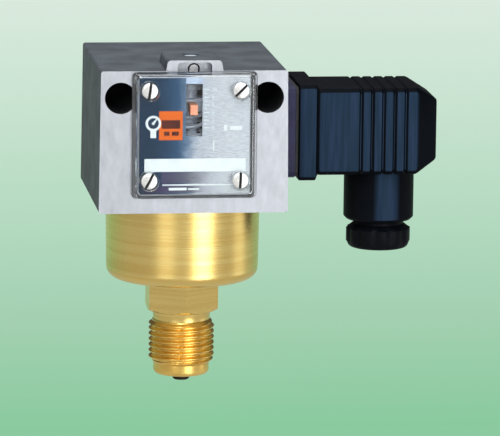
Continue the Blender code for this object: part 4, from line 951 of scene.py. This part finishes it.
def finish_cad(looks):
    """Each CAD node still showing gets its look and broken edges."""
    kept = {
        "steel": ["sensor_flange", "plunger", "rocker", "rocker_pin", "switch_bracket", "bracket_screw_1",
                  "bracket_screw_2", "switch_screw_1", "switch_screw_2", "inlet_screw_1", "inlet_screw_2",
                  "flange_screw_1", "flange_screw_2", "flange_screw_3", "flange_screw_4"],
        "brass": ["bellows_base", "bellows_head", "lock_pad", "earth_screw", "blade_open", "blade_closed",
                  "blade_common", "blade_earth", "terminal_common", "terminal_closed", "terminal_open"],
        "bronze": ["bellows"],
        "rubber": ["window_gasket", "inlet_gasket", "plug_gasket", "spindle_seal"],
        "inlet": ["inlet_base"],
        "black": ["snap_switch", "terminal_insert"],
        "orange": ["switch_button"],
        "red_wire": ["wire_common", "wire_closed", "wire_open"],
        "green_wire": ["earth_wire"],
    }
    unbroken = ("bellows", "wire_common", "wire_closed", "wire_open", "earth_wire")
    for look, names in kept.items():
        for name in names:
            node = frame["nodes"][name]
            node.data.materials.clear()
            node.data.materials.append(looks[look])
            if name not in unbroken:
                soften(node, 0.12, angle=40)


# ---------------------------------------------------------------- floor, lights and camera


def direction(azimuth, elevation):
    """Unit vector from the object, azimuth 0 towards the front and 90 towards the plug."""
    a, e = math.radians(azimuth), math.radians(elevation)
    return Vector((math.sin(a) * math.cos(e), -math.cos(a) * math.cos(e), math.sin(e)))


def panel(name, azimuth, elevation, distance, size, radiance, colour):
    """A soft light panel that faces the middle of the object."""
    lamp = bpy.data.lights.new(name, "AREA")
    lamp.shape = "RECTANGLE"
    lamp.size, lamp.size_y = size
    lamp.energy = radiance * math.pi * size[0] * size[1]
    lamp.color = colour
    obj = bpy.data.objects.new(name, lamp)
    towards = direction(azimuth, elevation)
    obj.location = (cad_box[0] + cad_box[1]) / 2 + towards * distance
    obj.rotation_mode = "QUATERNION"
    obj.rotation_quaternion = towards.to_track_quat("Z", "Y")
    obj.visible_camera = False
    bpy.context.scene.collection.objects.link(obj)


def make_floor():
    """A bright pale sheet far below that glows with its own emission and so also lights the object from
    below; it turns green behind the object and pale again farther off.
    """
    made, tree, shader = start_material("floor_sheet")
    place = add_node(tree, "ShaderNodeTexCoord")
    split = add_node(tree, "ShaderNodeSeparateXYZ")
    tree.links.new(place.outputs["Object"], split.inputs["Vector"])
    depth = add_range(tree, split.outputs["Y"], (0.0, FLOOR_REACH), (0.0, 1.0))
    colour = add_ramp(tree, depth, FLOOR_STOPS)
    tree.links.new(colour, shader.inputs["Emission Color"])
    shader.inputs["Emission Strength"].default_value = 1.0
    shader.inputs["Base Color"].default_value = (0.02, 0.02, 0.02, 1.0)
    shader.inputs["Roughness"].default_value = 0.9
    bm = bmesh.new()
    bmesh.ops.create_grid(bm, x_segments=4, y_segments=4, size=10.0)
    mesh = bpy.data.meshes.new("floor")
    bm.to_mesh(mesh)
    bm.free()
    mesh.materials.append(made)
    floor = bpy.data.objects.new("floor", mesh)
    floor.location.z = -0.6
    bpy.context.scene.collection.objects.link(floor)


def make_lights():
    world = bpy.data.worlds.new("studio")
    world.use_nodes = True
    world.node_tree.nodes["Background"].inputs["Color"].default_value = (0.96, 0.98, 1.0, 1.0)
    world.node_tree.nodes["Background"].inputs["Strength"].default_value = 0.10
    bpy.context.scene.world = world
    panel("key_softbox", 24, 0, 1.0, (0.44, 1.0), 3.5, (1.0, 1.0, 1.02))
    panel("front_left_card", -31, 0, 1.2, (0.50, 0.8), 0.9, (1.0, 0.99, 0.98))
    panel("right_card", 90, 0, 1.2, (0.50, 0.8), 0.7, (1.0, 0.99, 0.98))
    panel("window_fill", -12, 22, 1.2, (0.4, 0.4), 7.0, (0.95, 0.98, 1.04))
    panel("top_softbox", -20, 65, 1.2, (1.2, 1.2), 3.3, (1.0, 1.0, 1.0))
    panel("left_fill", -80, 30, 1.3, (0.5, 0.5), 0.5, (0.95, 0.98, 1.0))
    panel("rear_fill", 170, 50, 1.3, (0.9, 0.7), 1.2, (1.0, 1.0, 1.0))
    bpy.context.scene.view_settings.view_transform = "Standard"


def make_camera():
    lens = bpy.data.cameras.new("camera")
    lens.lens, lens.sensor_width = VIEW_LENS, 36
    lens.clip_end = 20
    camera = bpy.data.objects.new("camera", lens)
    back = direction(VIEW_AZIMUTH, VIEW_ELEVATION)
    camera.location = (VIEW_TARGET + back * VIEW_DISTANCE) * MM
    camera.rotation_mode = "QUATERNION"
    roll = Quaternion((0, 0, 1), math.radians(VIEW_ROLL))
    camera.rotation_quaternion = back.to_track_quat("Z", "Y") @ roll
    bpy.context.scene.collection.objects.link(camera)
    bpy.context.scene.camera = camera


looks = make_looks()
make_camera()
make_connection(looks)
make_cup(looks)
make_housing(looks)
make_window(looks)
make_spindle(looks)
make_nut(looks)
make_spring(looks)
make_lock(looks)
make_plug(looks)
finish_cad(looks)
make_floor()
make_lights()
